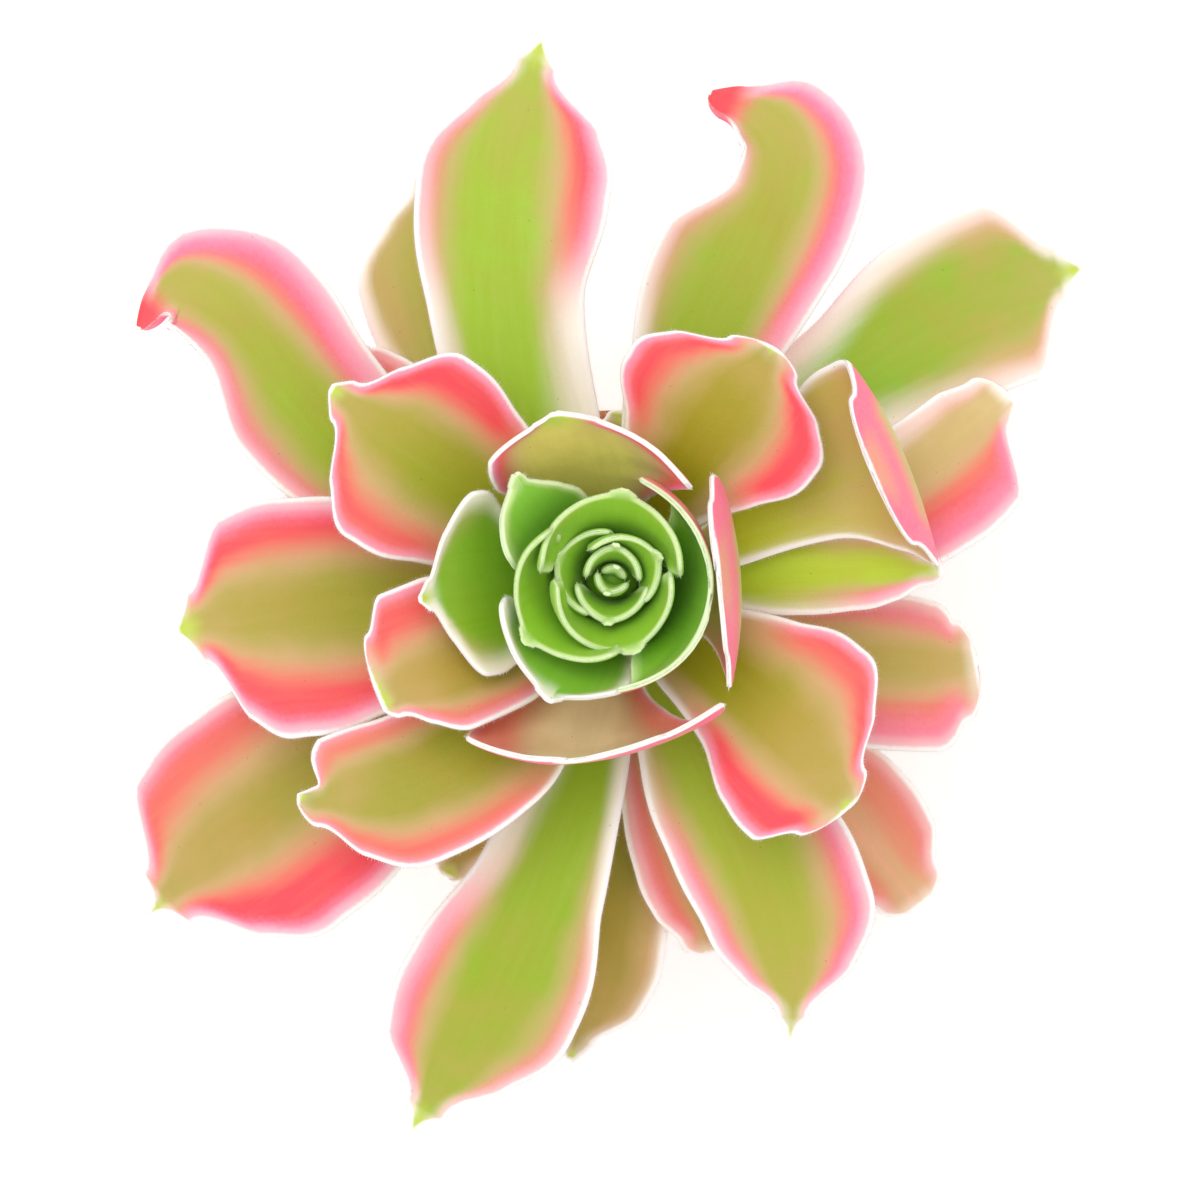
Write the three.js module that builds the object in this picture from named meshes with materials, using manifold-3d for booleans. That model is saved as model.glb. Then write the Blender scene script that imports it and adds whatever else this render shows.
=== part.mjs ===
// A variegated pinwheel aeonium in a small clay pot: one open rosette of fleshy leaves on a short bare stem.
// Millimetres, +Z up. The origin is on the ground under the middle of the plant, where the pot stands.

import * as THREE from "three";
import { mergeVertices } from "three/addons/utils/BufferGeometryUtils.js";
import Module from "manifold-3d";

// Driving dimensions
const POT_HEIGHT = 52;
const POT_MOUTH_RADIUS = 27;
const POT_FOOT_RADIUS = 18.5;
const POT_WALL = 2.6;
const POT_COLLAR_HEIGHT = 12;
const POT_COLLAR_STEP = 1.5;
const POT_FLOOR = 3.4;
const DRAIN_RADIUS = 4;
const SOIL_BELOW_MOUTH = 4;
const STEM_DEPTH = 24;
const ROSETTE_BOTTOM = 62;
const STEM_TOP = 90;
const STEM_RADIUS_LOW = 6;
const STEM_RADIUS_TOP = 3;
const FIT_GAP = 0.3;
const SOIL_TOP = POT_HEIGHT - SOIL_BELOW_MOUTH;
const STEM_RADIUS_BURIED = STEM_RADIUS_LOW - 0.8;

// The crown stands a little off the pot's middle, as it grew.
const CROWN_X = 0.4;
const CROWN_Y = 1.3;

// Leaf flesh
const BASE_THICKNESS = 2.2;
const BLADE_THICKNESS = 1.7;
const MARGIN_THICKNESS = 0.8;
const TIP_HALF_WIDTH = 0.5;
const BASE_CUP = 26;
const NECK_HALF_WIDTH = 3.9;

// Mesh fineness
const ROW_SHARES = [0, 0.14, 0.28, 0.42, 0.56, 0.68, 0.78, 0.86, 0.92, 0.965, 1];
const HEART_ROW_SHARES = [0, 0.2, 0.4, 0.6, 0.78, 0.92, 1];
const ROUND_SIDES = 32;

// Shares of a leaf's length at which its half widths are given; a leaf with a hooked tip has its own.
const OUTLINE_STATIONS = [0, 0.25, 0.5, 0.7, 0.85, 0.95, 1];
const HOOK_STATIONS = [0, 0.3, 0.57, 0.72, 0.86, 0.95, 1];

// Colours
const CLAY = { color: "#b8704c", roughness: 0.9 };
const SOIL = { color: "#3f3229", roughness: 1 };
const BARK = { color: "#8a7a5c", roughness: 0.85 };
const OUTER_LEAF = { color: "#b9b04a", roughness: 0.5 };
const INNER_LEAF = { color: "#7fb53a", roughness: 0.5 };

const radians = THREE.MathUtils.degToRad;
const lerp = THREE.MathUtils.lerp;
const smoothstep = THREE.MathUtils.smoothstep;
const clamp = THREE.MathUtils.clamp;

// A leaf is a midrib and an outline. The midrib leaves the stem at the height seat and follows a cubic curve
// with the handles belly and shoulder to the tip, each [turn in degrees, reach, height] about the crown.
// left and right, as seen looking out from the stem, are the half widths at the stations past the neck.
// cup is how far each side bends up, in degrees, at mid length and at the tip.
// Some leaves also have:
//   neck      half width where the leaf leaves the stem
//   pointed   power of the curve from the last station to the tip, under 1 for a drawn-out point
//   roll      turn about the midrib, in degrees, at the base and at the tip
//   curl      how far the left and the right margin roll over near the tip, in degrees
//   sweep     how far the left and the right margin run ahead of the midrib near the tip
//   stations  stations of its own for the half widths
//   columns   points across the blade
//   wave      height of the ripple in the margin
const OUTER_LEAVES = [
  // Lowest leaves, mostly in shade
  { name: "low_north", seat: 60.8, belly: [88, 12, 61.5], shoulder: [88, 19, 62], tip: [87, 25, 62],
    left: [3.5, 4, 4.2, 3.6, 2], right: [3.5, 4, 4.2, 3.6, 2], cup: [10, 5] },
  { name: "low_west", seat: 60.7, belly: [166, 18, 62.5], shoulder: [165, 36, 66], tip: [163, 50, 66],
    left: [4, 6.5, 8, 6.5, 3], right: [4, 6.5, 8, 6.5, 3], cup: [14, 8] },
  { name: "low_south_west", seat: 60.2, belly: [242, 18, 61.5], shoulder: [242, 36, 64], tip: [241, 50, 63],
    left: [2.8, 5, 6.5, 5, 3], right: [2.8, 5, 6.5, 5, 3], cup: [14, 8], neck: 2.4 },
  { name: "low_north_west", seat: 66.5, belly: [140, 20, 71], shoulder: [140, 40, 73], tip: [140, 53, 71],
    left: [5, 6.5, 7, 5.5, 3], right: [4.5, 5.5, 5.5, 4.5, 2], cup: [14, 8] },
  { name: "back_north_west", seat: 63.4, belly: [127, 20.5, 68], shoulder: [127, 44.5, 70],
    tip: [114, 67, 66], left: [7, 10.5, 12.3, 6.7, 2], right: [6.5, 9.5, 10, 7, 2.5],
    cup: [16, 8], pointed: 0.6 },
  { name: "back_south", seat: 62.3, belly: [270, 25, 67], shoulder: [271, 51, 68], tip: [265, 71, 62],
    left: [4.5, 8, 9.8, 8, 2.4], right: [5.5, 7.5, 8, 6, 2.5], cup: [14, 8] },
  { name: "back_south_east", seat: 64.4, belly: [317, 21.5, 68], shoulder: [316, 44, 69.5],
    tip: [313, 65.5, 66], left: [4.5, 6.5, 10.5, 9.5, 6], right: [4.5, 8.5, 9.5, 8.5, 5], cup: [14, 6] },
  { name: "back_south_2", seat: 66.8, belly: [285, 21, 71], shoulder: [286, 40.5, 73.5],
    tip: [286, 56, 70.5], left: [5, 6.5, 6.5, 4.5, 2], right: [5, 7.5, 8.5, 7.5, 5], cup: [16, 8] },
  { name: "low_east", seat: 68.7, belly: [334, 20.5, 72], shoulder: [338, 40, 73], tip: [347, 54, 73],
    left: [6, 8.5, 10.5, 9.5, 6.5], right: [5.5, 9.5, 12, 12, 8], cup: [12, 6], sweep: [1.5, 1.5] },

  // Large outer leaves
  { name: "south_west", seat: 68.1, belly: [215, 28, 75], shoulder: [213, 60, 79], tip: [216, 82, 75],
    left: [9, 16, 18.5, 13.5, 5], right: [8.5, 14, 17.8, 15.8, 5.2], cup: [18, 10], pointed: 0.55 },
  { name: "north_east", seat: 68, belly: [47, 25, 73], shoulder: [43, 60, 78], tip: [33.4, 80.7, 75],
    left: [7, 8.3, 12.4, 12.8, 4.3], right: [8, 11.5, 13.5, 13.8, 4.7], cup: [18, 8], pointed: 0.8 },
  { name: "east_wide", seat: 71, belly: [4, 18.5, 75.5], shoulder: [13, 42, 81], tip: [24, 62.5, 81],
    left: [5.5, 7, 8, 8, 6.5], right: [6, 10, 12.6, 11.6, 2.2], cup: [16, 8] },
  { name: "north_west_hook", seat: 70.6, belly: [170, 42, 80], shoulder: [132, 84, 88], tip: [152, 76, 78],
    left: [9.5, 14, 9.6, 12, 6], right: [8.5, 9.8, 11.4, 7, 1.5], cup: [18, 12], stations: HOOK_STATIONS,
    columns: 7, curl: [100, 0] },
  { name: "south", seat: 70.5, belly: [267, 30, 79], shoulder: [254, 56, 84], tip: [250, 83.5, 80],
    left: [6.5, 10.3, 14.3, 9.2, 3.5], right: [8, 9.2, 12.2, 10.2, 2.9], cup: [22, 10], pointed: 0.7 },
  { name: "north_east_hook", seat: 72.0, belly: [72, 44, 82], shoulder: [58, 74, 90], tip: [78.5, 70, 81],
    left: [9, 13.8, 7.8, 8, 5], right: [8, 10.8, 11.6, 8.2, 2], cup: [18, 12], stations: HOOK_STATIONS,
    columns: 7, curl: [110, 0] },
  { name: "south_east", seat: 73.2, belly: [296, 22.5, 81], shoulder: [302, 50, 84], tip: [291, 70, 81],
    left: [8, 12, 14.3, 9.7, 2.5], right: [8, 11.5, 10.3, 6.7, 1.9], cup: [22, 10], pointed: 0.7 },
  { name: "north", seat: 74.3, belly: [126, 31.5, 82], shoulder: [109, 56, 87], tip: [97.4, 76.7, 82],
    left: [8.5, 11.2, 13, 7.2, 3], right: [10.5, 11.7, 14.7, 12, 3.6], cup: [24, 10], pointed: 0.8 },
  { name: "west", seat: 73.3, belly: [198, 19.5, 81], shoulder: [182, 45, 88], tip: [187, 61.5, 86],
    left: [10, 15.5, 18.3, 14.8, 5.6], right: [9.5, 14.5, 15.7, 14.3, 5], cup: [18, 8], pointed: 0.8 },
  { name: "east", seat: 74.8, belly: [2, 15.5, 80.8], shoulder: [2, 35, 85], tip: [1, 46.5, 84],
    left: [4.5, 6.2, 6.2, 5, 3], right: [4.5, 6, 5.5, 4, 2], cup: [10, 4] },

  // Half-open leaves
  { name: "south_west_notched", seat: 75.5, belly: [241, 19.5, 86], shoulder: [231, 39.5, 92],
    tip: [214.7, 53.2, 91], left: [7, 13, 13.5, 9.6, 4.5], right: [7, 8.5, 9, 8.2, 1.5],
    cup: [20, 10], sweep: [0, 3.5] },
  { name: "south_east_inner", seat: 77, belly: [311, 19, 87], shoulder: [318, 33, 95], tip: [316, 45.5, 95],
    left: [9, 14, 17, 11.5, 5], right: [5.5, 7.5, 12, 13, 8], cup: [18, 8] },
  { name: "east_upturned", seat: 78.3, belly: [23, 19.5, 86], shoulder: [23, 56.5, 89], tip: [23, 37.5, 104],
    left: [7.5, 11.5, 15.5, 14.5, 10], right: [5.5, 7, 12.5, 16, 12], cup: [16, 8] },
  { name: "north_west_inner", seat: 78, belly: [146, 17, 88], shoulder: [144, 32.5, 97],
    tip: [146, 46.5, 98], left: [8.5, 14, 16.5, 11.5, 4], right: [7.5, 11.3, 13.5, 7.5, 2.4], cup: [20, 8] },
  { name: "west_small", seat: 81.7, belly: [221, 15.5, 91], shoulder: [212, 26.5, 97.5], tip: [209, 36, 100],
    left: [5, 8, 8, 5, 2.5], right: [7.5, 11, 14.5, 14.5, 10], cup: [28, 14] },
  { name: "north_east_inner", seat: 80.9, belly: [58, 13, 89], shoulder: [53, 25.5, 97], tip: [55, 38.5, 98],
    left: [7, 12, 16.5, 13, 6], right: [5.5, 10.5, 14.5, 11, 5], cup: [18, 6], neck: 3.4 },
];

// Cups and opening buds around the heart
const INNER_LEAVES = [
  { name: "cup_south", seat: 79.2, belly: [262, 13, 83], shoulder: [259, 27, 89], tip: [257, 25.3, 105],
    left: [6.5, 12, 19, 22.5, 13], right: [6.5, 13, 15, 15, 7], cup: [30, 32], columns: 7, roll: [0, 18] },
  { name: "cup_east", seat: 83.6, belly: [1, 11, 85], shoulder: [1, 21.8, 93], tip: [2, 14, 107],
    left: [6, 9, 12.5, 13.7, 10], right: [7, 11, 14.5, 15.4, 11], cup: [16, 6], columns: 7, roll: [0, 4] },
  { name: "cup_north", seat: 83.0, belly: [108, 10, 87.5], shoulder: [112, 18.5, 98], tip: [110, 23.4, 106.5],
    left: [5, 8, 11, 10.5, 3.2], right: [8, 14, 20, 16.5, 6],
    cup: [46, 54], columns: 7, roll: [0, -13], neck: 3.2, pointed: 0.8 },
  { name: "cup_west", seat: 84.3, belly: [182, 10, 89], shoulder: [184, 20, 98], tip: [186.5, 26.4, 103],
    left: [6.5, 11, 12.5, 6.4, 1.9], right: [6.5, 10.5, 14.5, 8.8, 2.5], cup: [36, 36], columns: 7, neck: 3.2,
    pointed: 0.9 },
  { name: "bud_south", seat: 86.6, belly: [247, 8, 92], shoulder: [243, 16, 100], tip: [243, 18.8, 105],
    left: [6.5, 9, 9.5, 5.2, 1.6], right: [7, 11, 14, 8.4, 2.6], cup: [46, 56], columns: 7, pointed: 0.9 },
  { name: "bud_east", seat: 86, belly: [349, 6.5, 91], shoulder: [352, 14.7, 98], tip: [352, 13.2, 106],
    left: [7, 10, 15, 19, 12], right: [8, 13, 18, 20, 13], cup: [66, 80], columns: 7, roll: [0, 6] },
  { name: "bud_north_west", seat: 87.4, belly: [138, 7, 92.5], shoulder: [137, 14, 100],
    tip: [133, 19.2, 104.5], left: [4, 7.5, 10.5, 6.5, 1.9], right: [5, 6, 4.5, 2, 0.9],
    cup: [42, 50], columns: 7, pointed: 0.9 },
];

function polar(turn, reach, height) {
  const angle = radians(turn);
  return new THREE.Vector3(reach * Math.cos(angle), reach * Math.sin(angle), height);
}

function stemRadius(height) {
  const share = clamp((height - ROSETTE_BOTTOM) / (STEM_TOP - ROSETTE_BOTTOM), 0, 1);
  return lerp(STEM_RADIUS_LOW, STEM_RADIUS_TOP, share);
}

function leafCurve(leaf) {
  const belly = polar(...leaf.belly);
  const start = polar(leaf.belly[0], stemRadius(leaf.seat), leaf.seat);
  const slope = belly.clone().sub(start).normalize();
  const clearance = FIT_GAP + (BASE_THICKNESS / 2 + 0.6) * Math.max(0, slope.z);
  const seat = polar(leaf.belly[0], stemRadius(leaf.seat) + clearance, leaf.seat);
  return new THREE.CubicBezierCurve3(seat, belly, polar(...leaf.shoulder), polar(...leaf.tip));
}

// A smooth curve through the given heights that never overshoots them.
function through(stations, values, at) {
  const slopes = values.map((value, index) => {
    if (index === 0 || index === values.length - 1) return 0;
    const before = (value - values[index - 1]) / (stations[index] - stations[index - 1]);
    const after = (values[index + 1] - value) / (stations[index + 1] - stations[index]);
    return before * after <= 0 ? 0 : (2 * before * after) / (before + after);
  });
  let index = 0;
  while (index < stations.length - 2 && at > stations[index + 1]) index++;
  const span = stations[index + 1] - stations[index];
  const share = (at - stations[index]) / span;
  const from = values[index] + slopes[index] * span * share;
  const to = values[index + 1] - slopes[index + 1] * span * (1 - share);
  return lerp(from, to, share * share * (3 - 2 * share));
}

// Half width of one side: a neck that widens, then either a point or a rounded end.
function halfWidth(widths, leaf, share) {
  const stations = leaf.stations ?? OUTLINE_STATIONS;
  const lastStation = stations.length - 2;
  const endStart = stations[lastStation];
  const endWidth = widths[lastStation - 1];
  if (share <= endStart) {
    const values = [leaf.neck ?? NECK_HALF_WIDTH, ...widths];
    return through(stations.slice(0, -1), values, share);
  }
  const power = leaf.pointed ?? 1 + clamp((2 * endWidth) / widths[lastStation - 2] - 0.6, 0, 1);
  const beyond = (share - endStart) / (1 - endStart);
  return TIP_HALF_WIDTH + (endWidth - TIP_HALF_WIDTH) * (1 - beyond ** power) ** (1 / power);
}

function cupAngle(leaf, share) {
  const [middle, end] = leaf.cup;
  const degrees = share < 0.5 ? lerp(BASE_CUP, middle, share * 2) : lerp(middle, end, share * 2 - 1);
  return radians(degrees);
}

function thickness(share, across) {
  const middle = lerp(BASE_THICKNESS, BLADE_THICKNESS, smoothstep(share, 0, 0.6));
  const along = lerp(middle, MARGIN_THICKNESS, smoothstep(share, 0.6, 1));
  return lerp(MARGIN_THICKNESS, along, 1 - across * across);
}

// Frames that travel along the midrib without twisting: a tangent, a side vector to the left and a normal.
function midribFrames(leaf, shares) {
  const curve = leafCurve(leaf);
  const steps = 100;
  const sides = [];
  const turn = radians(leaf.belly[0]);
  let side = new THREE.Vector3(-Math.sin(turn), Math.cos(turn), 0);
  for (let step = 0; step <= steps; step++) {
    const tangent = curve.getTangentAt(step / steps);
    side = side.clone().addScaledVector(tangent, -side.dot(tangent)).normalize();
    sides.push(side);
  }
  return shares.map((share) => {
    const tangent = curve.getTangentAt(share);
    const left = sides[Math.round(share * steps)].clone();
    left.addScaledVector(tangent, -left.dot(tangent)).normalize();
    const up = new THREE.Vector3().crossVectors(tangent, left);
    const roll = radians(lerp(...(leaf.roll ?? [0, 0]), share));
    return {
      share,
      tangent,
      point: curve.getPointAt(share),
      side: left.applyAxisAngle(tangent, roll),
      up: up.applyAxisAngle(tangent, roll),
      length: curve.getLength(),
    };
  });
}

// A point of the blade's middle surface, and the way out of it, at a share of the length and of the width.
function bladePoint(leaf, frame, across) {
  const { share, length } = frame;
  const widths = [halfWidth(leaf.right, leaf, share), halfWidth(leaf.left, leaf, share)];
  const mean = (widths[0] + widths[1]) / 2;
  const side = across > 0 ? 1 : 0;
  const width = widths[side];
  const span = Math.abs(across);
  const widest = Math.max(...leaf.left.map((left, index) => (left + leaf.right[index]) / 2));
  const taper = lerp(1, Math.min(mean / widest, 1), smoothstep(share, 0.5, 0.7));
  const bend = cupAngle(leaf, share) * (width / mean) * taper;
  const curl = radians((leaf.curl ?? [0, 0])[1 - side]) * smoothstep(share, 0.66, 0.86);
  const angleAt = (x) => bend * x + curl * x ** 3;
  let aside = 0;
  let lift = 0;
  const steps = 8;
  for (let step = 0; step < steps; step++) {
    const angle = angleAt((span * (step + 0.5)) / steps);
    aside += (Math.cos(angle) * span * width) / steps;
    lift += (Math.sin(angle) * span * width) / steps;
  }
  const sweep = (leaf.sweep ?? [0, 0])[1 - side];
  const ahead = sweep * span * span * smoothstep(share, 0.6, 0.85) * (1 - smoothstep(share, 0.88, 0.95));
  const phase = (side ? 0.7 : 2.4) + leaf.belly[0];
  const wave = (leaf.wave ?? 0.5) * span ** 3 * smoothstep(share, 0.2, 0.6);
  const sign = side ? 1 : -1;
  const angle = angleAt(span);
  const point = frame.point.clone()
    .addScaledVector(frame.side, sign * aside)
    .addScaledVector(frame.up, lift + wave * Math.sin(share * length * 0.22 + phase))
    .addScaledVector(frame.tangent, ahead);
  const out = frame.up.clone().multiplyScalar(Math.cos(angle))
    .addScaledVector(frame.side, -sign * Math.sin(angle));
  return { point, out };
}

// A closed blade: an upper and a lower grid, split alike, and the rim that joins them.
function bladeGeometry(leaf, shares = ROW_SHARES, columns = leaf.columns ?? 5) {
  const rows = shares.length;
  const positions = [];
  for (const face of [1, -1]) {
    for (const frame of midribFrames(leaf, shares)) {
      for (let column = 0; column < columns; column++) {
        const across = (column / (columns - 1)) * 2 - 1;
        const { point, out } = bladePoint(leaf, frame, across);
        positions.push(...point.addScaledVector(out, (face * thickness(frame.share, across)) / 2).toArray());
      }
    }
  }
  const upper = (row, column) => row * columns + column;
  const lower = (row, column) => (rows + row) * columns + column;
  const triangles = [];
  for (let row = 0; row < rows - 1; row++) {
    for (let column = 0; column < columns - 1; column++) {
      triangles.push(upper(row, column), upper(row + 1, column), upper(row + 1, column + 1));
      triangles.push(upper(row, column), upper(row + 1, column + 1), upper(row, column + 1));
      triangles.push(lower(row, column), lower(row + 1, column + 1), lower(row + 1, column));
      triangles.push(lower(row, column), lower(row, column + 1), lower(row + 1, column + 1));
    }
  }
  const rim = [];
  for (let column = 0; column < columns - 1; column++) rim.push([0, column]);
  for (let row = 0; row < rows - 1; row++) rim.push([row, columns - 1]);
  for (let column = columns - 1; column > 0; column--) rim.push([rows - 1, column]);
  for (let row = rows - 1; row > 0; row--) rim.push([row, 0]);
  rim.forEach((corner, index) => {
    const next = rim[(index + 1) % rim.length];
    triangles.push(upper(...corner), upper(...next), lower(...next));
    triangles.push(upper(...corner), lower(...next), lower(...corner));
  });
  const geometry = new THREE.BufferGeometry();
  geometry.setAttribute("position", new THREE.Float32BufferAttribute(positions, 3));
  geometry.setIndex(triangles);
  geometry.computeVertexNormals();
  return geometry;
}

const wasm = await Module();
wasm.setup();

function toSolid(geometry) {
  const bare = geometry.clone();
  bare.deleteAttribute("normal");
  bare.deleteAttribute("uv");
  const merged = mergeVertices(bare, 1e-4);
  return new wasm.Manifold(new wasm.Mesh({
    numProp: 3,
    vertProperties: merged.attributes.position.array,
    triVerts: new Uint32Array(merged.index.array),
  }));
}

function toGeometry(solid) {
  const { vertProperties, triVerts } = solid.getMesh();
  const geometry = new THREE.BufferGeometry();
  geometry.setAttribute("position", new THREE.BufferAttribute(new Float32Array(vertProperties), 3));
  geometry.setIndex(new THREE.BufferAttribute(new Uint32Array(triVerts), 1));
  geometry.computeVertexNormals();
  return geometry;
}

// A lathe turned from three.js's Y axis to Z.
function turned(profile, sides = ROUND_SIDES) {
  const points = profile.map(([radius, height]) => new THREE.Vector2(radius, height));
  return new THREE.LatheGeometry(points, sides).rotateX(Math.PI / 2);
}

// The heart: the youngest leaves, still one bud, fused to the growing tip.
// Each is [turn, reach, height of the tip, left and right half width, cup, roll].
const HEART_BASE = STEM_TOP + FIT_GAP;
const GROWING_TIP = [[0, HEART_BASE], [3, HEART_BASE], [4.4, 93], [3.4, 95.4], [1.4, 97], [0, 97.4]];
const HEART_OUTLINE = [0.5, 0.85, 1, 0.42, 0.12];
const HEART_LEAVES = [
  [216, 15, 104, 12, 16, 92, 6],
  [82, 12, 104.5, 16.5, 13.5, 98, -4],
  [288, 10.7, 103.5, 11, 16.5, 106, 4],
  [160, 8.4, 101.5, 9, 8, 90, 0],
  [24, 7.2, 103, 10, 6, 96, 0],
  [264, 6.4, 102.3, 7, 6.5, 84, 0],
  [84, 4.5, 102.8, 6, 5.5, 96, 0],
  [250, 2.4, 102.2, 3, 3, 80, 0],
  [70, 1.5, 101.4, 2, 2, 70, 0],
];

function heartLeaf([turn, reach, top, left, right, cup, roll]) {
  return {
    seat: HEART_BASE + 1.5,
    belly: [turn, reach * 0.45, 93],
    shoulder: [turn, reach * 0.62, top - 4],
    tip: [turn, reach, top],
    left: HEART_OUTLINE.map((part) => part * left),
    right: HEART_OUTLINE.map((part) => part * right),
    cup: [cup * 0.9, cup],
    pointed: 0.8,
    roll: [0, roll],
    neck: 2.5,
    wave: 0.2,
  };
}

function heartGeometry() {
  let solid = toSolid(turned(GROWING_TIP, 12));
  for (const row of HEART_LEAVES) {
    solid = solid.add(toSolid(bladeGeometry(heartLeaf(row), HEART_ROW_SHARES, 7)));
  }
  // Pockets closed off between the leaf bases are filled.
  const [body] = solid.decompose().filter((piece) => piece.volume() > 0);
  return toGeometry(body);
}

// Stem: a plain buried length, bark rings where old leaves have dropped, then a taper through the crown.
function stemGeometry() {
  const foot = SOIL_TOP - STEM_DEPTH;
  const profile = [
    [0, foot],
    [3.4, foot],
    [STEM_RADIUS_BURIED, foot + 3],
    [STEM_RADIUS_BURIED, SOIL_TOP + 1.2],
  ];
  const rings = 4;
  const pitch = (ROSETTE_BOTTOM - SOIL_TOP - 2.4) / rings;
  for (let ring = 0; ring < rings; ring++) {
    const height = SOIL_TOP + 1.8 + ring * pitch;
    profile.push([STEM_RADIUS_LOW - 0.2, height], [STEM_RADIUS_LOW - 0.6, height + pitch * 0.7]);
  }
  profile.push([STEM_RADIUS_LOW - 0.2, ROSETTE_BOTTOM], [STEM_RADIUS_TOP, STEM_TOP], [0, STEM_TOP]);
  return turned(profile, 20);
}

function potInnerRadius(height) {
  const foot = POT_FOOT_RADIUS - POT_WALL;
  const mouth = POT_MOUTH_RADIUS - POT_WALL - 0.6;
  return foot + ((mouth - foot) * height) / POT_HEIGHT;
}

// Pot: a tapered clay wall with a thicker collar, a flat foot ring and one drain hole.
function potGeometry() {
  const collar = POT_HEIGHT - POT_COLLAR_HEIGHT;
  const wallTaper = (POT_MOUTH_RADIUS - POT_COLLAR_STEP - POT_FOOT_RADIUS) / POT_HEIGHT;
  const outerAt = (height) => POT_FOOT_RADIUS + wallTaper * height;
  return turned([
    [DRAIN_RADIUS, 0],
    [POT_FOOT_RADIUS - 0.8, 0],
    [outerAt(1), 1],
    [outerAt(collar - 0.6), collar - 0.6],
    [outerAt(collar) + POT_COLLAR_STEP, collar + 0.6],
    [POT_MOUTH_RADIUS, POT_HEIGHT - 1.4],
    [POT_MOUTH_RADIUS - 0.6, POT_HEIGHT - 0.3],
    [POT_MOUTH_RADIUS - 1.6, POT_HEIGHT],
    [potInnerRadius(POT_HEIGHT - 0.8), POT_HEIGHT - 0.8],
    [potInnerRadius(POT_FLOOR + 1), POT_FLOOR + 1],
    [potInnerRadius(POT_FLOOR + 1) - 1, POT_FLOOR],
    [DRAIN_RADIUS, POT_FLOOR],
    [DRAIN_RADIUS, 0],
  ]);
}

// Soil: fills the pot to a little under its mouth, with a plain hole for the stem.
function soilGeometry() {
  const bottom = POT_FLOOR + FIT_GAP;
  const gap = FIT_GAP;
  const plug = turned([
    [0, bottom],
    [potInnerRadius(bottom + 1.2) - 1 - gap, bottom],
    [potInnerRadius(bottom + 1.2) - gap, bottom + 1.2],
    [potInnerRadius(SOIL_TOP - 0.8) - gap, SOIL_TOP - 0.8],
    [potInnerRadius(SOIL_TOP - 0.8) - 2, SOIL_TOP + 0.2],
    [potInnerRadius(SOIL_TOP) - 8, SOIL_TOP - 0.5],
    [STEM_RADIUS_LOW + 3, SOIL_TOP + 0.6],
    [0, SOIL_TOP + 0.4],
  ]);
  const depth = STEM_DEPTH + gap;
  const hole = new THREE.CylinderGeometry(STEM_RADIUS_BURIED + gap, STEM_RADIUS_BURIED + gap, depth + 4, 20);
  hole.rotateX(Math.PI / 2).translate(CROWN_X, CROWN_Y, SOIL_TOP - depth + (depth + 4) / 2);
  return toGeometry(toSolid(plug).subtract(toSolid(hole)));
}

// Assembly: the pot stands on the ground, and the plant is set by its crown.
const group = new THREE.Group();
const potGroup = new THREE.Group();
const plant = new THREE.Group();
plant.position.set(CROWN_X, CROWN_Y, 0);
group.add(potGroup, plant);

function addMesh(parent, name, geometry, look) {
  const mesh = new THREE.Mesh(geometry, new THREE.MeshStandardMaterial({ ...look, metalness: 0 }));
  mesh.name = name;
  parent.add(mesh);
}

addMesh(potGroup, "pot", potGeometry(), CLAY);
addMesh(potGroup, "soil", soilGeometry(), SOIL);
addMesh(plant, "stem", stemGeometry(), BARK);
for (const leaf of OUTER_LEAVES) addMesh(plant, `leaf_${leaf.name}`, bladeGeometry(leaf), OUTER_LEAF);
for (const leaf of INNER_LEAVES) addMesh(plant, `leaf_${leaf.name}`, bladeGeometry(leaf), INNER_LEAF);
addMesh(plant, "heart", heartGeometry(), INNER_LEAF);

export default group;
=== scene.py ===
# %% [markdown]
# # A variegated pinwheel aeonium in a clay pot
# The real plant is one open rosette of fleshy leaves on a short bare stem, about 155 mm across.
# Each leaf is green along its middle, then khaki, coral and pink, and ends in a white, finely hairy margin.
# The CAD model already holds every leaf as a plain solid. This lesson dresses each of them: the same
# leaf formula is run again on a fine grid, so nothing moves, and the margins, hairs and colours are added.

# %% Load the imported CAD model
import itertools
import math

import bpy
import numpy as np
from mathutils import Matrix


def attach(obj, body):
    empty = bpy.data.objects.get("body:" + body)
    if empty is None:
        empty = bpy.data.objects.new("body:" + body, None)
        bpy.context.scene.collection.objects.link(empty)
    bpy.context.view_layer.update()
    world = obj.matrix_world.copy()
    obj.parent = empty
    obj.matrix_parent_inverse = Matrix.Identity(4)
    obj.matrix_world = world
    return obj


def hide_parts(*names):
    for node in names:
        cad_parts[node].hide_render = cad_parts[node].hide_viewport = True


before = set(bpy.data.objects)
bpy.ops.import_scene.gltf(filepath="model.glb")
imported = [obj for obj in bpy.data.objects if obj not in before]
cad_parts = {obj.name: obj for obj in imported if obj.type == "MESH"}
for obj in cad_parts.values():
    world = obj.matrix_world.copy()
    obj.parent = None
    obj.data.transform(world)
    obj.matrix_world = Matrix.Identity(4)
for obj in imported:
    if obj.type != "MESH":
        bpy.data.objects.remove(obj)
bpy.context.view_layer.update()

# %% [markdown]
# ## Camera
# The photograph looks straight down on the rosette from about half a metre, with the leaves filling the
# frame. A plain perspective camera does this: its frame is 168 mm wide at the height of the upper leaves.
# It is made first, because every later look is judged through it.

# %% Camera
MM = 0.001
FRAME_WIDTH = 168 * MM
LEAF_LEVEL = 86 * MM
CAMERA_DISTANCE = 480 * MM

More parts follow.
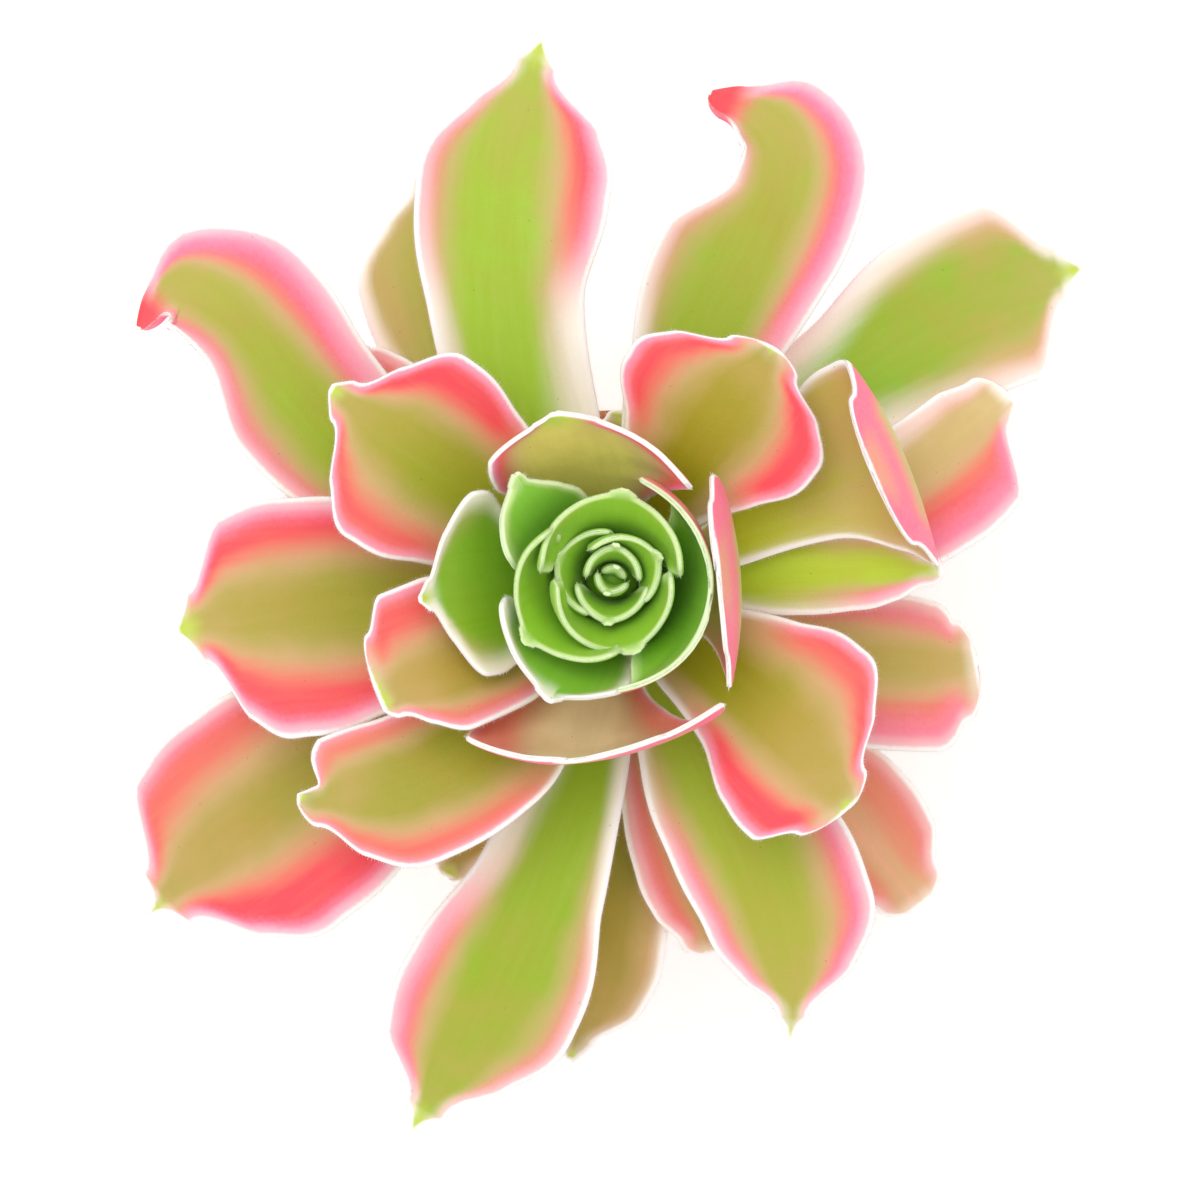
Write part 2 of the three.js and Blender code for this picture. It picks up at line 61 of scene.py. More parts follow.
camera = bpy.data.objects.new("camera", bpy.data.cameras.new("camera"))
camera.data.sensor_width = 36
camera.data.lens = camera.data.sensor_width * CAMERA_DISTANCE / FRAME_WIDTH
camera.data.clip_start = 0.01
camera.location = (-1.33 * MM, -1.75 * MM, LEAF_LEVEL + CAMERA_DISTANCE)
bpy.context.scene.collection.objects.link(camera)
bpy.context.scene.camera = camera
print("lens", round(camera.data.lens, 1), "mm")

# %% [markdown]
# ## Colours and nodes
# Colours are written as the sRGB hex values that an eye or a paint chart gives, but Blender mixes light
# in linear values, so one function turns one into the other.
# A material is a small graph of nodes. One helper adds a node, sets it and links its inputs, and another
# lays tones over a ground colour one by one, as a painter does, each as thickly as its share says.

# %% Helpers for colours and nodes
def linear(hex_colour):
    parts = [int(hex_colour[at:at + 2], 16) / 255 for at in (1, 3, 5)]
    return [part / 12.92 if part <= 0.04045 else ((part + 0.055) / 1.055) ** 2.4 for part in parts] + [1]


def add(tree, kind, inputs=(), **settings):
    node = tree.nodes.new("ShaderNode" + kind)
    for name, value in settings.items():
        setattr(node, name, value)
    for name, value in dict(inputs).items():
        if isinstance(value, bpy.types.NodeSocket):
            tree.links.new(value, node.inputs[name])
        else:
            node.inputs[name].default_value = value
    return node


def new_material(name, **fixed):
    material = bpy.data.materials.new(name)
    material.use_nodes = True
    shader = material.node_tree.nodes["Principled BSDF"]
    for socket, value in fixed.items():
        shader.inputs[socket.replace("_", " ")].default_value = value
    return material, material.node_tree, shader


# The Mix node has one set of sockets for each kind of value. These are the colour ones.
MIX_FACTOR, MIX_A, MIX_B, MIX_RESULT = 0, 6, 7, 2


def layered(tree, ground, layers):
    for share, tone in layers:
        over = linear(tone) if isinstance(tone, str) else tone
        mix = add(tree, "Mix", {MIX_FACTOR: share, MIX_A: ground, MIX_B: over}, data_type="RGBA")
        ground = mix.outputs[MIX_RESULT]
    return ground


print("white is", linear("#ffffff")[0])

# %% [markdown]
# ## The shape of a leaf
# An aeonium leaf is a thick blade that narrows to a neck, is widest past its middle and ends in a small
# point. It could be sculpted, or cut from a subdivided plane, but some 40 leaves that have to fit each other
# are safer as a formula: a midrib curve, half widths on the left and on the right, and an angle by which the
# sides cup. These are the same numbers, in millimetres, that the CAD solids are built from.

# %% Sizes of the plant
# The crown is where the rosette's axis stands. All lengths here are in millimetres.
CROWN = np.array([0.4, 1.3, 0.0])
ROSETTE_BOTTOM = 62
STEM_TOP = 90
STEM_RADIUS_LOW = 6
STEM_RADIUS_TOP = 3
FIT_GAP = 0.3
BASE_THICKNESS = 2.2
BLADE_THICKNESS = 1.7
MARGIN_THICKNESS = 0.8
TIP_HALF_WIDTH = 0.5
BASE_CUP = 26
NECK_HALF_WIDTH = 3.9
STATIONS = (0, 0.25, 0.5, 0.7, 0.85, 0.95, 1)
HOOK_STATIONS = (0, 0.3, 0.57, 0.72, 0.86, 0.95, 1)
LEAVES = {}


def leaf(name, seat, belly, shoulder, tip, left, right, cup, **more):
    usual = dict(neck=NECK_HALF_WIDTH, pointed=None, roll=(0, 0), curl=(0, 0), sweep=(0, 0),
                 stations=STATIONS, wave=0.5)
    LEAVES[name] = dict(usual, seat=seat, belly=belly, shoulder=shoulder, tip=tip, left=left, right=right,
                        cup=cup, **more)


# %% Leaf records
# Each has the height where it leaves the stem, then belly, shoulder and tip as (turn in degrees, reach,
# height), then the half widths on the left and on the right at the stations between neck and tip, and how
# far the sides cup at mid length and at the tip.
leaf("low_north", 60.8, (88, 12, 61.5), (88, 19, 62), (87, 25, 62),
     (3.5, 4, 4.2, 3.6, 2), (3.5, 4, 4.2, 3.6, 2), (10, 5))
leaf("low_west", 60.7, (166, 18, 62.5), (165, 36, 66), (163, 50, 66),
     (4, 6.5, 8, 6.5, 3), (4, 6.5, 8, 6.5, 3), (14, 8))
leaf("low_south_west", 60.2, (242, 18, 61.5), (242, 36, 64), (241, 50, 63),
     (2.8, 5, 6.5, 5, 3), (2.8, 5, 6.5, 5, 3), (14, 8), neck=2.4)
leaf("low_north_west", 66.5, (140, 20, 71), (140, 40, 73), (140, 53, 71),
     (5, 6.5, 7, 5.5, 3), (4.5, 5.5, 5.5, 4.5, 2), (14, 8))
leaf("back_north_west", 63.4, (127, 20.5, 68), (127, 44.5, 70), (114, 67, 66),
     (7, 10.5, 12.3, 6.7, 2), (6.5, 9.5, 10, 7, 2.5), (16, 8), pointed=0.6)
leaf("back_south", 62.3, (270, 25, 67), (271, 51, 68), (265, 71, 62),
     (4.5, 8, 9.8, 8, 2.4), (5.5, 7.5, 8, 6, 2.5), (14, 8))
leaf("back_south_east", 64.4, (317, 21.5, 68), (316, 44, 69.5), (313, 65.5, 66),
     (4.5, 6.5, 10.5, 9.5, 6), (4.5, 8.5, 9.5, 8.5, 5), (14, 6))
leaf("back_south_2", 66.8, (285, 21, 71), (286, 40.5, 73.5), (286, 56, 70.5),
     (5, 6.5, 6.5, 4.5, 2), (5, 7.5, 8.5, 7.5, 5), (16, 8))
leaf("low_east", 68.7, (334, 20.5, 72), (338, 40, 73), (347, 54, 73),
     (6, 8.5, 10.5, 9.5, 6.5), (5.5, 9.5, 12, 12, 8), (12, 6), sweep=(1.5, 1.5))
leaf("south_west", 68.1, (215, 28, 75), (213, 60, 79), (216, 82, 75),
     (9, 16, 18.5, 13.5, 5), (8.5, 14, 17.8, 15.8, 5.2), (18, 10), pointed=0.55)
leaf("north_east", 68, (47, 25, 73), (43, 60, 78), (33.4, 80.7, 75),
     (7, 8.3, 12.4, 12.8, 4.3), (8, 11.5, 13.5, 13.8, 4.7), (18, 8), pointed=0.8)
leaf("east_wide", 71, (4, 18.5, 75.5), (13, 42, 81), (24, 62.5, 81),
     (5.5, 7, 8, 8, 6.5), (6, 10, 12.6, 11.6, 2.2), (16, 8))
leaf("north_west_hook", 70.6, (170, 42, 80), (132, 84, 88), (152, 76, 78),
     (9.5, 14, 9.6, 12, 6), (8.5, 9.8, 11.4, 7, 1.5), (18, 12), curl=(100, 0), stations=HOOK_STATIONS)
leaf("south", 70.5, (267, 30, 79), (254, 56, 84), (250, 83.5, 80),
     (6.5, 10.3, 14.3, 9.2, 3.5), (8, 9.2, 12.2, 10.2, 2.9), (22, 10), pointed=0.7)
leaf("north_east_hook", 72.0, (72, 44, 82), (58, 74, 90), (78.5, 70, 81),
     (9, 13.8, 7.8, 8, 5), (8, 10.8, 11.6, 8.2, 2), (18, 12), curl=(110, 0), stations=HOOK_STATIONS)
leaf("south_east", 73.2, (296, 22.5, 81), (302, 50, 84), (291, 70, 81),
     (8, 12, 14.3, 9.7, 2.5), (8, 11.5, 10.3, 6.7, 1.9), (22, 10), pointed=0.7)
leaf("north", 74.3, (126, 31.5, 82), (109, 56, 87), (97.4, 76.7, 82),
     (8.5, 11.2, 13, 7.2, 3), (10.5, 11.7, 14.7, 12, 3.6), (24, 10), pointed=0.8)
leaf("west", 73.3, (198, 19.5, 81), (182, 45, 88), (187, 61.5, 86),
     (10, 15.5, 18.3, 14.8, 5.6), (9.5, 14.5, 15.7, 14.3, 5), (18, 8), pointed=0.8)
leaf("east", 74.8, (2, 15.5, 80.8), (2, 35, 85), (1, 46.5, 84),
     (4.5, 6.2, 6.2, 5, 3), (4.5, 6, 5.5, 4, 2), (10, 4))
leaf("south_west_notched", 75.5, (241, 19.5, 86), (231, 39.5, 92), (214.7, 53.2, 91),
     (7, 13, 13.5, 9.6, 4.5), (7, 8.5, 9, 8.2, 1.5), (20, 10), sweep=(0, 3.5))
leaf("south_east_inner", 77, (311, 19, 87), (318, 33, 95), (316, 45.5, 95),
     (9, 14, 17, 11.5, 5), (5.5, 7.5, 12, 13, 8), (18, 8))
leaf("east_upturned", 78.3, (23, 19.5, 86), (23, 56.5, 89), (23, 37.5, 104),
     (7.5, 11.5, 15.5, 14.5, 10), (5.5, 7, 12.5, 16, 12), (16, 8))
leaf("north_west_inner", 78, (146, 17, 88), (144, 32.5, 97), (146, 46.5, 98),
     (8.5, 14, 16.5, 11.5, 4), (7.5, 11.3, 13.5, 7.5, 2.4), (20, 8))
leaf("west_small", 81.7, (221, 15.5, 91), (212, 26.5, 97.5), (209, 36, 100),
     (5, 8, 8, 5, 2.5), (7.5, 11, 14.5, 14.5, 10), (28, 14))
leaf("north_east_inner", 80.9, (58, 13, 89), (53, 25.5, 97), (55, 38.5, 98),
     (7, 12, 16.5, 13, 6), (5.5, 10.5, 14.5, 11, 5), (18, 6), neck=3.4)
leaf("cup_south", 79.2, (262, 13, 83), (259, 27, 89), (257, 25.3, 105),
     (6.5, 12, 19, 22.5, 13), (6.5, 13, 15, 15, 7), (30, 32), roll=(0, 18))
leaf("cup_east", 83.6, (1, 11, 85), (1, 21.8, 93), (2, 14, 107),
     (6, 9, 12.5, 13.7, 10), (7, 11, 14.5, 15.4, 11), (16, 6), roll=(0, 4))
leaf("cup_north", 83.0, (108, 10, 87.5), (112, 18.5, 98), (110, 23.4, 106.5),
     (5, 8, 11, 10.5, 3.2), (8, 14, 20, 16.5, 6), (46, 54), neck=3.2, pointed=0.8, roll=(0, -13))
leaf("cup_west", 84.3, (182, 10, 89), (184, 20, 98), (186.5, 26.4, 103),
     (6.5, 11, 12.5, 6.4, 1.9), (6.5, 10.5, 14.5, 8.8, 2.5), (36, 36), neck=3.2, pointed=0.9)
leaf("bud_south", 86.6, (247, 8, 92), (243, 16, 100), (243, 18.8, 105),
     (6.5, 9, 9.5, 5.2, 1.6), (7, 11, 14, 8.4, 2.6), (46, 56), pointed=0.9)
leaf("bud_east", 86, (349, 6.5, 91), (352, 14.7, 98), (352, 13.2, 106),
     (7, 10, 15, 19, 12), (8, 13, 18, 20, 13), (66, 80), roll=(0, 6))
leaf("bud_north_west", 87.4, (138, 7, 92.5), (137, 14, 100), (133, 19.2, 104.5),
     (4, 7.5, 10.5, 6.5, 1.9), (5, 6, 4.5, 2, 0.9), (42, 50), pointed=0.9)
print("leaves:", len(LEAVES))

# %% [markdown]
# ## Curves and outlines
# The midrib is a cubic Bezier curve, walked by arc length, with a side vector that travels along it without
# twisting. The half widths are joined by a smooth curve that never overshoots the numbers it is given.

# %% Midrib
MIDRIB_STEPS = 200


def polar(turn, reach, height):
    return np.array([reach * math.cos(math.radians(turn)), reach * math.sin(math.radians(turn)), height])


def smoothstep(value, low, high):
    share = np.clip((value - low) / (high - low), 0, 1)
    return share * share * (3 - 2 * share)


def unit(vectors):
    return vectors / np.linalg.norm(vectors, axis=-1, keepdims=True)


def stem_radius(height):
    share = min(max((height - ROSETTE_BOTTOM) / (STEM_TOP - ROSETTE_BOTTOM), 0), 1)
    return STEM_RADIUS_LOW + (STEM_RADIUS_TOP - STEM_RADIUS_LOW) * share


def midrib_handles(record):
    turn, seat = record["belly"][0], record["seat"]
    belly = polar(*record["belly"])
    slope = unit(belly - polar(turn, stem_radius(seat), seat))
    clearance = FIT_GAP + (BASE_THICKNESS / 2 + 0.6) * max(0, slope[2])
    neck = polar(turn, stem_radius(seat) + clearance, seat)
    return neck, belly, polar(*record["shoulder"]), polar(*record["tip"])


def midrib(record, shares):
    neck, belly, shoulder, tip = midrib_handles(record)
    t = np.linspace(0, 1, MIDRIB_STEPS + 1)[:, None]
    back = 1 - t
    points = back ** 3 * neck + 3 * back ** 2 * t * belly + 3 * back * t * t * shoulder + t ** 3 * tip
    tangents = back ** 2 * (belly - neck) + 2 * back * t * (shoulder - belly) + t * t * (tip - shoulder)
    tangents = unit(tangents)
    walked = np.concatenate([[0], np.cumsum(np.linalg.norm(np.diff(points, axis=0), axis=1))])
    turn = math.radians(record["belly"][0])
    side = np.array([-math.sin(turn), math.cos(turn), 0])
    sides = []
    for tangent in tangents:
        side = unit(side - side.dot(tangent) * tangent)
        sides.append(side)

    def at(values):
        columns = np.array(values).T
        return np.stack([np.interp(shares * walked[-1], walked, column) for column in columns], axis=1)

    tangent = unit(at(tangents))
    side = at(sides)
    side = unit(side - (side * tangent).sum(axis=1, keepdims=True) * tangent)
    up = np.cross(tangent, side)
    roll = np.radians(record["roll"][0] + (record["roll"][1] - record["roll"][0]) * shares)[:, None]
    rolled_side = side * np.cos(roll) + np.cross(tangent, side) * np.sin(roll)
    rolled_up = up * np.cos(roll) + np.cross(tangent, up) * np.sin(roll)
    return at(points), tangent, rolled_side, rolled_up, walked[-1]


print("north leaf, length", round(float(midrib(LEAVES["north"], np.array([0.0, 1.0]))[-1]), 1), "mm")

# %% Outline
def through(stations, values, at):
    slopes = [0.0] * len(values)
    for index in range(1, len(values) - 1):
        before = (values[index] - values[index - 1]) / (stations[index] - stations[index - 1])
        after = (values[index + 1] - values[index]) / (stations[index + 1] - stations[index])
        slopes[index] = 0 if before * after <= 0 else 2 * before * after / (before + after)
    stations, values, slopes = np.array(stations), np.array(values, dtype=float), np.array(slopes)
    index = np.clip(np.searchsorted(stations, at, side="left") - 1, 0, len(stations) - 2)
    span = stations[index + 1] - stations[index]
    share = (at - stations[index]) / span
    start = values[index] + slopes[index] * span * share
    end = values[index + 1] - slopes[index + 1] * span * (1 - share)
    return start + (end - start) * share * share * (3 - 2 * share)


def half_width(record, widths, shares):
    stations = record["stations"]
    body = through(stations[:-1], (record["neck"], *widths), np.minimum(shares, stations[-2]))
    power = record["pointed"] or 1 + min(max(2 * widths[-1] / widths[-2] - 0.6, 0), 1)
    beyond = np.clip((shares - stations[-2]) / (1 - stations[-2]), 0, 1)
    end = TIP_HALF_WIDTH + (widths[-1] - TIP_HALF_WIDTH) * (1 - beyond ** power) ** (1 / power)
    return np.where(shares <= stations[-2], body, end)


record = LEAVES["north"]
print("north leaf, widest", round(float(half_width(record, record["right"], np.array([0.7]))[0]), 1), "mm")

# %% [markdown]
# ## The blade
# Across the leaf each side bends up like a shallow trough, the margins ripple a little, and the two hooked
# leaves roll over near their tips. The blade is 2.2 mm thick at its neck and 0.8 mm at its margin.
# On the real leaf the margin is round, so the last 0.45 mm closes in a half circle instead of a flat rim.

# %% Blade surface
MARGIN_ROUND = 0.45
BEND_STEPS = 8


def blade(record, shares, across):
    point, tangent, side, up, length = midrib(record, shares)
    t = shares[:, None]
    x = across[None, :]
    span = np.abs(x)
    is_left = x > 0
    left, right = (half_width(record, record[hand], shares)[:, None] for hand in ("left", "right"))
    width = np.where(is_left, left, right)
    middle, end = record["cup"]
    cup = np.where(t < 0.5, BASE_CUP + (middle - BASE_CUP) * t * 2, middle + (end - middle) * (t * 2 - 1))
    mean = (left + right) / 2
    widest = max(map(sum, zip(record["left"], record["right"]))) / 2
    taper = 1 + (np.minimum(mean / widest, 1) - 1) * smoothstep(t, 0.5, 0.7)
    bend = np.radians(cup) * width / mean * taper
    curl = np.radians(np.where(is_left, *record["curl"])) * smoothstep(t, 0.66, 0.86)
    aside, lift = 0, 0
    for step in range(BEND_STEPS):
        at = span * (step + 0.5) / BEND_STEPS
        angle = bend * at + curl * at ** 3
        aside = aside + np.cos(angle) * span * width / BEND_STEPS
        lift = lift + np.sin(angle) * span * width / BEND_STEPS
    ahead = np.where(is_left, *record["sweep"]) * span ** 2 * smoothstep(t, 0.6, 0.85)
    ahead = ahead * (1 - smoothstep(t, 0.88, 0.95))
    phase = np.where(is_left, 0.7, 2.4) + record["belly"][0]
    ripple = record["wave"] * span ** 3 * smoothstep(t, 0.2, 0.6) * np.sin(t * length * 0.22 + phase)
    sign = np.where(is_left, 1, -1)
    angle = bend * span + curl * span ** 3

    def along(vector, amount):
        return vector[:, None, :] * np.broadcast_to(amount, (len(shares), len(across)))[:, :, None]

    place = along(point, 1) + along(side, sign * aside) + along(up, lift + ripple) + along(tangent, ahead)
    normal = along(up, np.cos(angle)) - along(side, sign * np.sin(angle))
    outward = along(side, sign * np.cos(angle)) + along(up, np.sin(angle))
    core = BASE_THICKNESS + (BLADE_THICKNESS - BASE_THICKNESS) * smoothstep(t, 0, 0.6)
    core = core + (MARGIN_THICKNESS - core) * smoothstep(t, 0.6, 1)
    thickness = MARGIN_THICKNESS + (core - MARGIN_THICKNESS) * (1 - x * x)
    edge = np.minimum((1 - span) * width, (1 - t) * length)
    edge = np.broadcast_to(edge, place.shape[:2])
    closing = np.sqrt(1 - (1 - np.minimum(edge / MARGIN_ROUND, 1)) ** 2)
    return dict(place=place, normal=normal, outward=outward, tangent=tangent, half=thickness * closing / 2,
                edge=edge, width=np.broadcast_to(width, place.shape[:2]), length=length)


trial = blade(LEAVES["north"], np.linspace(0, 1, 9), np.linspace(-1, 1, 9))
print("north leaf, thickest", round(float(trial["half"].max() * 2), 2), "mm")

# %% [markdown]
# ## From a grid to a closed leaf
# The upper and the lower skin share their points all round the margin and the tip. At the neck the leaf is
# drawn out a little into the stem, as a real leaf is joined to it, and closed.
# Rows and columns crowd towards the tip and the margins, where the colours and the curves change fastest.

# %% Closed skin
ROWS, HALF_COLUMNS = 64, 13
SHARES = 1 - (1 - np.linspace(0, 1, ROWS)) ** 1.35
HALF = 1 - (1 - np.linspace(0, 1, HALF_COLUMNS + 1)) ** 1.7
ACROSS = np.concatenate([-HALF[::-1], HALF[1:]])
NECK_SUNK = 1.6


def closed_skin(surface):
    place, offset = surface["place"], surface["normal"] * surface["half"][:, :, None]
    root = place[:1] - surface["tangent"][0] * NECK_SUNK
    upper = np.concatenate([root + offset[:1] * 0.8, place + offset])
    lower = np.concatenate([root - offset[:1] * 0.8, place - offset])
    rows, columns = upper.shape[:2]
    top = np.arange(rows * columns).reshape(rows, columns)
    below = np.full_like(top, -1)
    below[:-1, 1:-1] = rows * columns + np.arange((rows - 1) * (columns - 2)).reshape(rows - 1, columns - 2)
    shared = below < 0
    below[shared] = top[shared]
    points = np.concatenate([upper.reshape(-1, 3), lower[:-1, 1:-1].reshape(-1, 3)])
    faces = []
    for row in range(rows - 1):
        for column in range(columns - 1):
            ring = [(row, column), (row + 1, column), (row + 1, column + 1), (row, column + 1)]
            faces.append([top[at] for at in ring])
            faces.append([below[at] for at in reversed(ring)])
    for column in range(columns - 1):
        ring = [top[0, column], top[0, column + 1], below[0, column + 1], below[0, column]]
        faces.append(list(dict.fromkeys(ring)))
    return points, [list(dict.fromkeys(face)) for face in faces]


points, faces = closed_skin(blade(LEAVES["north"], SHARES, ACROSS))
print("one leaf:", len(points), "points,", len(faces), "faces")

# %% [markdown]
# ## Margin hairs
# The white edge of each leaf is a fringe of stiff clear hairs, each about half a millimetre long.
# Blender's own hair isn't a mesh that can be handed on, so each hair is a slim three-sided spike with its
# foot sunk in the margin. They stand 0.4 mm apart, at seeded random lengths, and lean towards the tip.

# %% Margin hairs
HAIR_SPACING = 0.42
HAIR_LENGTH = 0.5
HAIR_RADIUS = 0.075
HAIR_SUNK = 0.12
HAIR_CORNERS = 4
HAIR_SIDES = ((0, 2, 1), (0, 1, 3), (1, 2, 3), (2, 0, 3))


def margin_hairs(surface, chance):
    points, faces, spots = [], [], []
    for column in (0, -1):
        line = surface["place"][:, column]
        outward = surface["outward"][:, column]
        walked = np.concatenate([[0], np.cumsum(np.linalg.norm(np.diff(line, axis=0), axis=1))])
        at = HAIR_SPACING
        while at < walked[-1] - 0.3:
            row = min(int(np.searchsorted(walked, at)), len(line) - 1)
            share = (at - walked[row - 1]) / max(walked[row] - walked[row - 1], 1e-6)
            foot = line[row - 1] + (line[row] - line[row - 1]) * share
            ahead = surface["tangent"][row]
            out = unit(outward[row] + ahead * chance.uniform(0.1, 0.7) + chance.uniform(-0.25, 0.25, 3))
            flat = unit(np.cross(out, ahead))
            other = np.cross(out, flat)
            base = foot - out * HAIR_SUNK
            first = len(points)
            for turn in (0.5, 2.6, 4.7):
                points.append(base + HAIR_RADIUS * (flat * math.cos(turn) + other * math.sin(turn)))
            points.append(foot + out * HAIR_LENGTH * chance.uniform(0.55, 1.25))
            faces += [[first + corner for corner in face] for face in HAIR_SIDES]
            spots.append((row, column))
            at += HAIR_SPACING * chance.uniform(0.7, 1.3)
    return np.array(points), faces, spots


trial = margin_hairs(blade(LEAVES["north"], SHARES, ACROSS), np.random.default_rng(1))
print("hairs on one leaf:", len(trial[2]))

# %% [markdown]
# ## Where the colours lie
# No picture is used. Each leaf has a flesh colour and a few amounts: how khaki it
# turns, where its red bands start, how strong and how deep they are on either side, and how wide its
# pale margin is near the stem. Formulas spread these over the leaf as numbers stored on its points,
# and the material turns the numbers into colour. This keeps the bands parallel to the margin, as they grow.

# %% Paint chart
# name: flesh, khaki, start of the red, (red left, right), (depth of the red left, right),
# (width of the pale margin left, right, in millimetres).
# The depth is the share of the half width at which the red is half as strong as at the margin.
PAINT = {
    "low_north": ("#93a052", 0.6, 0.5, (0, 0), (0.7, 0.7), (1.5, 1.5)),
    "low_west": ("#93a052", 0.5, 0.5, (0, 0), (0.7, 0.7), (1.5, 1.5)),
    "low_south_west": ("#96994a", 0.7, 0.5, (0.1, 0.1), (0.7, 0.7), (1.5, 1.5)),
    "low_north_west": ("#b8a26a", 0.7, 0.2, (0.4, 0.6), (0.6, 0.4), (1.5, 1.5)),
    "back_north_west": ("#b4b95a", 0.35, 0.6, (0, 0), (0.7, 0.7), (3.5, 2.5)),
    "back_south": ("#8c8f2c", 0.7, 0.5, (0.05, 0.05), (0.7, 0.7), (2.5, 2)),
    "back_south_east": ("#ecb090", 0.1, 0.2, (0.45, 0.5), (0.3, 0.3), (1.5, 1.5)),
    "back_south_2": ("#b08e52", 0.8, 0.25, (0.5, 0.6), (0.5, 0.45), (1, 1)),
    "low_east": ("#b4b060", 0.7, 0.3, (0.5, 0.7), (0.58, 0.42), (2, 1.5)),
    "south_west": ("#9aa03a", 0.75, 0.3, (1, 0.75), (0.42, 0.55), (1.2, 1.5)),
    "north_east": ("#84c42a", 0.6, 0.6, (0.25, 0.3), (0.78, 0.74), (7, 7.5)),
    "east_wide": ("#dcc48c", 0.4, 0.35, (0.35, 0.85), (0.75, 0.3), (6, 3)),
    "north_west_hook": ("#a3bd38", 0.55, 0.2, (0.7, 0.9), (0.72, 0.42), (2.5, 5)),
    "south": ("#93b322", 0.35, 0.42, (0.55, 0.8), (0.8, 0.62), (2.4, 5.5)),
    "north_east_hook": ("#a2bc3c", 0.6, 0.3, (0.4, 0.95), (0.78, 0.56), (3, 4)),
    "south_east": ("#9fb82e", 0.45, 0.35, (0.85, 0.8), (0.68, 0.72), (1.5, 1.5)),
    "north": ("#a2c93a", 0.4, 0.42, (0.7, 1), (0.8, 0.6), (4, 6.5)),
    "west": ("#a2a634", 0.6, 0.2, (0.95, 0.95), (0.5, 0.55), (1, 1)),
    "east": ("#b9d436", 0.15, 0.6, (0.25, 0.85), (0.65, 0.55), (2, 1.5)),
    "south_west_notched": ("#9aa42c", 0.5, 0.35, (0.75, 0.7), (0.68, 0.66), (1.2, 1.2)),
    "south_east_inner": ("#a2a21c", 0.8, 0.36, (0.9, 1), (0.66, 0.5), (1.4, 1.2)),
    "east_upturned": ("#bac828", 0.45, 0.55, (0.15, 0.15), (0.1, 0.1), (2, 1.2)),
    "north_west_inner": ("#9cac28", 0.55, 0.34, (0.85, 1), (0.64, 0.5), (1.2, 1.2)),
    "west_small": ("#a39c3c", 0.95, 0.25, (0.7, 0.85), (0.6, 0.55), (1.5, 1.2)),
    "north_east_inner": ("#a09c14", 0.5, 0.38, (0.95, 1), (0.62, 0.55), (1.2, 1.2)),
    # cup_south and cup_north carry painted light: their flesh is set paler than their own colour, to lift the
    # shade deep in their cups.
    "cup_south": ("#ffe6b4", 0.2, 0.15, (0.6, 0.6), (0.55, 0.55), (1, 1)),
    "cup_east": ("#c4c86c", 0.3, 0.4, (0.6, 0.6), (0.8, 0.8), (1, 1)),
    "cup_north": ("#e6dc70", 0.3, 0.25, (1, 1), (0.78, 0.78), (0.9, 0.9)),
    "cup_west": ("#82b422", 0.05, 0.7, (0.2, 0.12), (0.85, 0.85), (4.6, 4.4)),
    "bud_south": ("#82bb32", 0, 0.8, (0.1, 0.05), (0.9, 0.9), (2.5, 5)),
    "bud_east": ("#7fbb2a", 0, 0.8, (0.1, 0.1), (0.9, 0.9), (2.6, 2.6)),
    "bud_north_west": ("#86c43c", 0, 0.8, (0, 0), (0.9, 0.9), (4, 1.5)),
    "heart": ("#86b82a", 0, 0.9, (0, 0), (0.95, 0.95), (2.2, 2.2)),
}
print("painted leaves:", len(PAINT))

# %% Colour amounts on a leaf
# Length of the yellow-green tip in millimetres. A few tips are red instead.
TIP_PATCH = {"south_west_notched": 2, "south_east_inner": 2, "west_small": 2.5, "west": 5, "south_west": 4.5,
             "south": 6, "north": 6, "north_east": 5, "north_east_inner": 1.5, "cup_north": 4, "cup_south": 5,
             "bud_south": 1, "bud_north_west": 1, "bud_east": 1, "heart": 0, "low_east": 0, "east": 0,
             "back_south_east": 0, "back_south_2": 0, "east_wide": 0}
TIP_USUAL = 3
RED_TIPS = ("north_west_hook", "north_east_hook")
# The pink over the red is full up to the first of these distances from the margin, and ends at the second.
PINK_REACH = {"outer": (0.8, 4.4), "half_open": (0.4, 2.4), "cup": (0.4, 2), "heart": (0.1, 0.5)}
# On these leaves the pink reaches this many times as far.
PINKER = {"north_west_hook": 1.7, "north_east_hook": 1.5, "east_wide": 1.8, "south_east": 1.4, "south": 1.3,
          "low_east": 1.8, "south_west_notched": 0.7}
# How much of the pale tone lies over the red right beside the rim.
BLUSH = {"outer": 0.45, "half_open": 0.15, "cup": 0, "heart": 0}
# Width of the white rim in millimetres: young leaves have a finer one.
RIM_WIDTH = {"outer": 0.75, "half_open": 0.62, "cup": 0.42, "heart": 0.1}


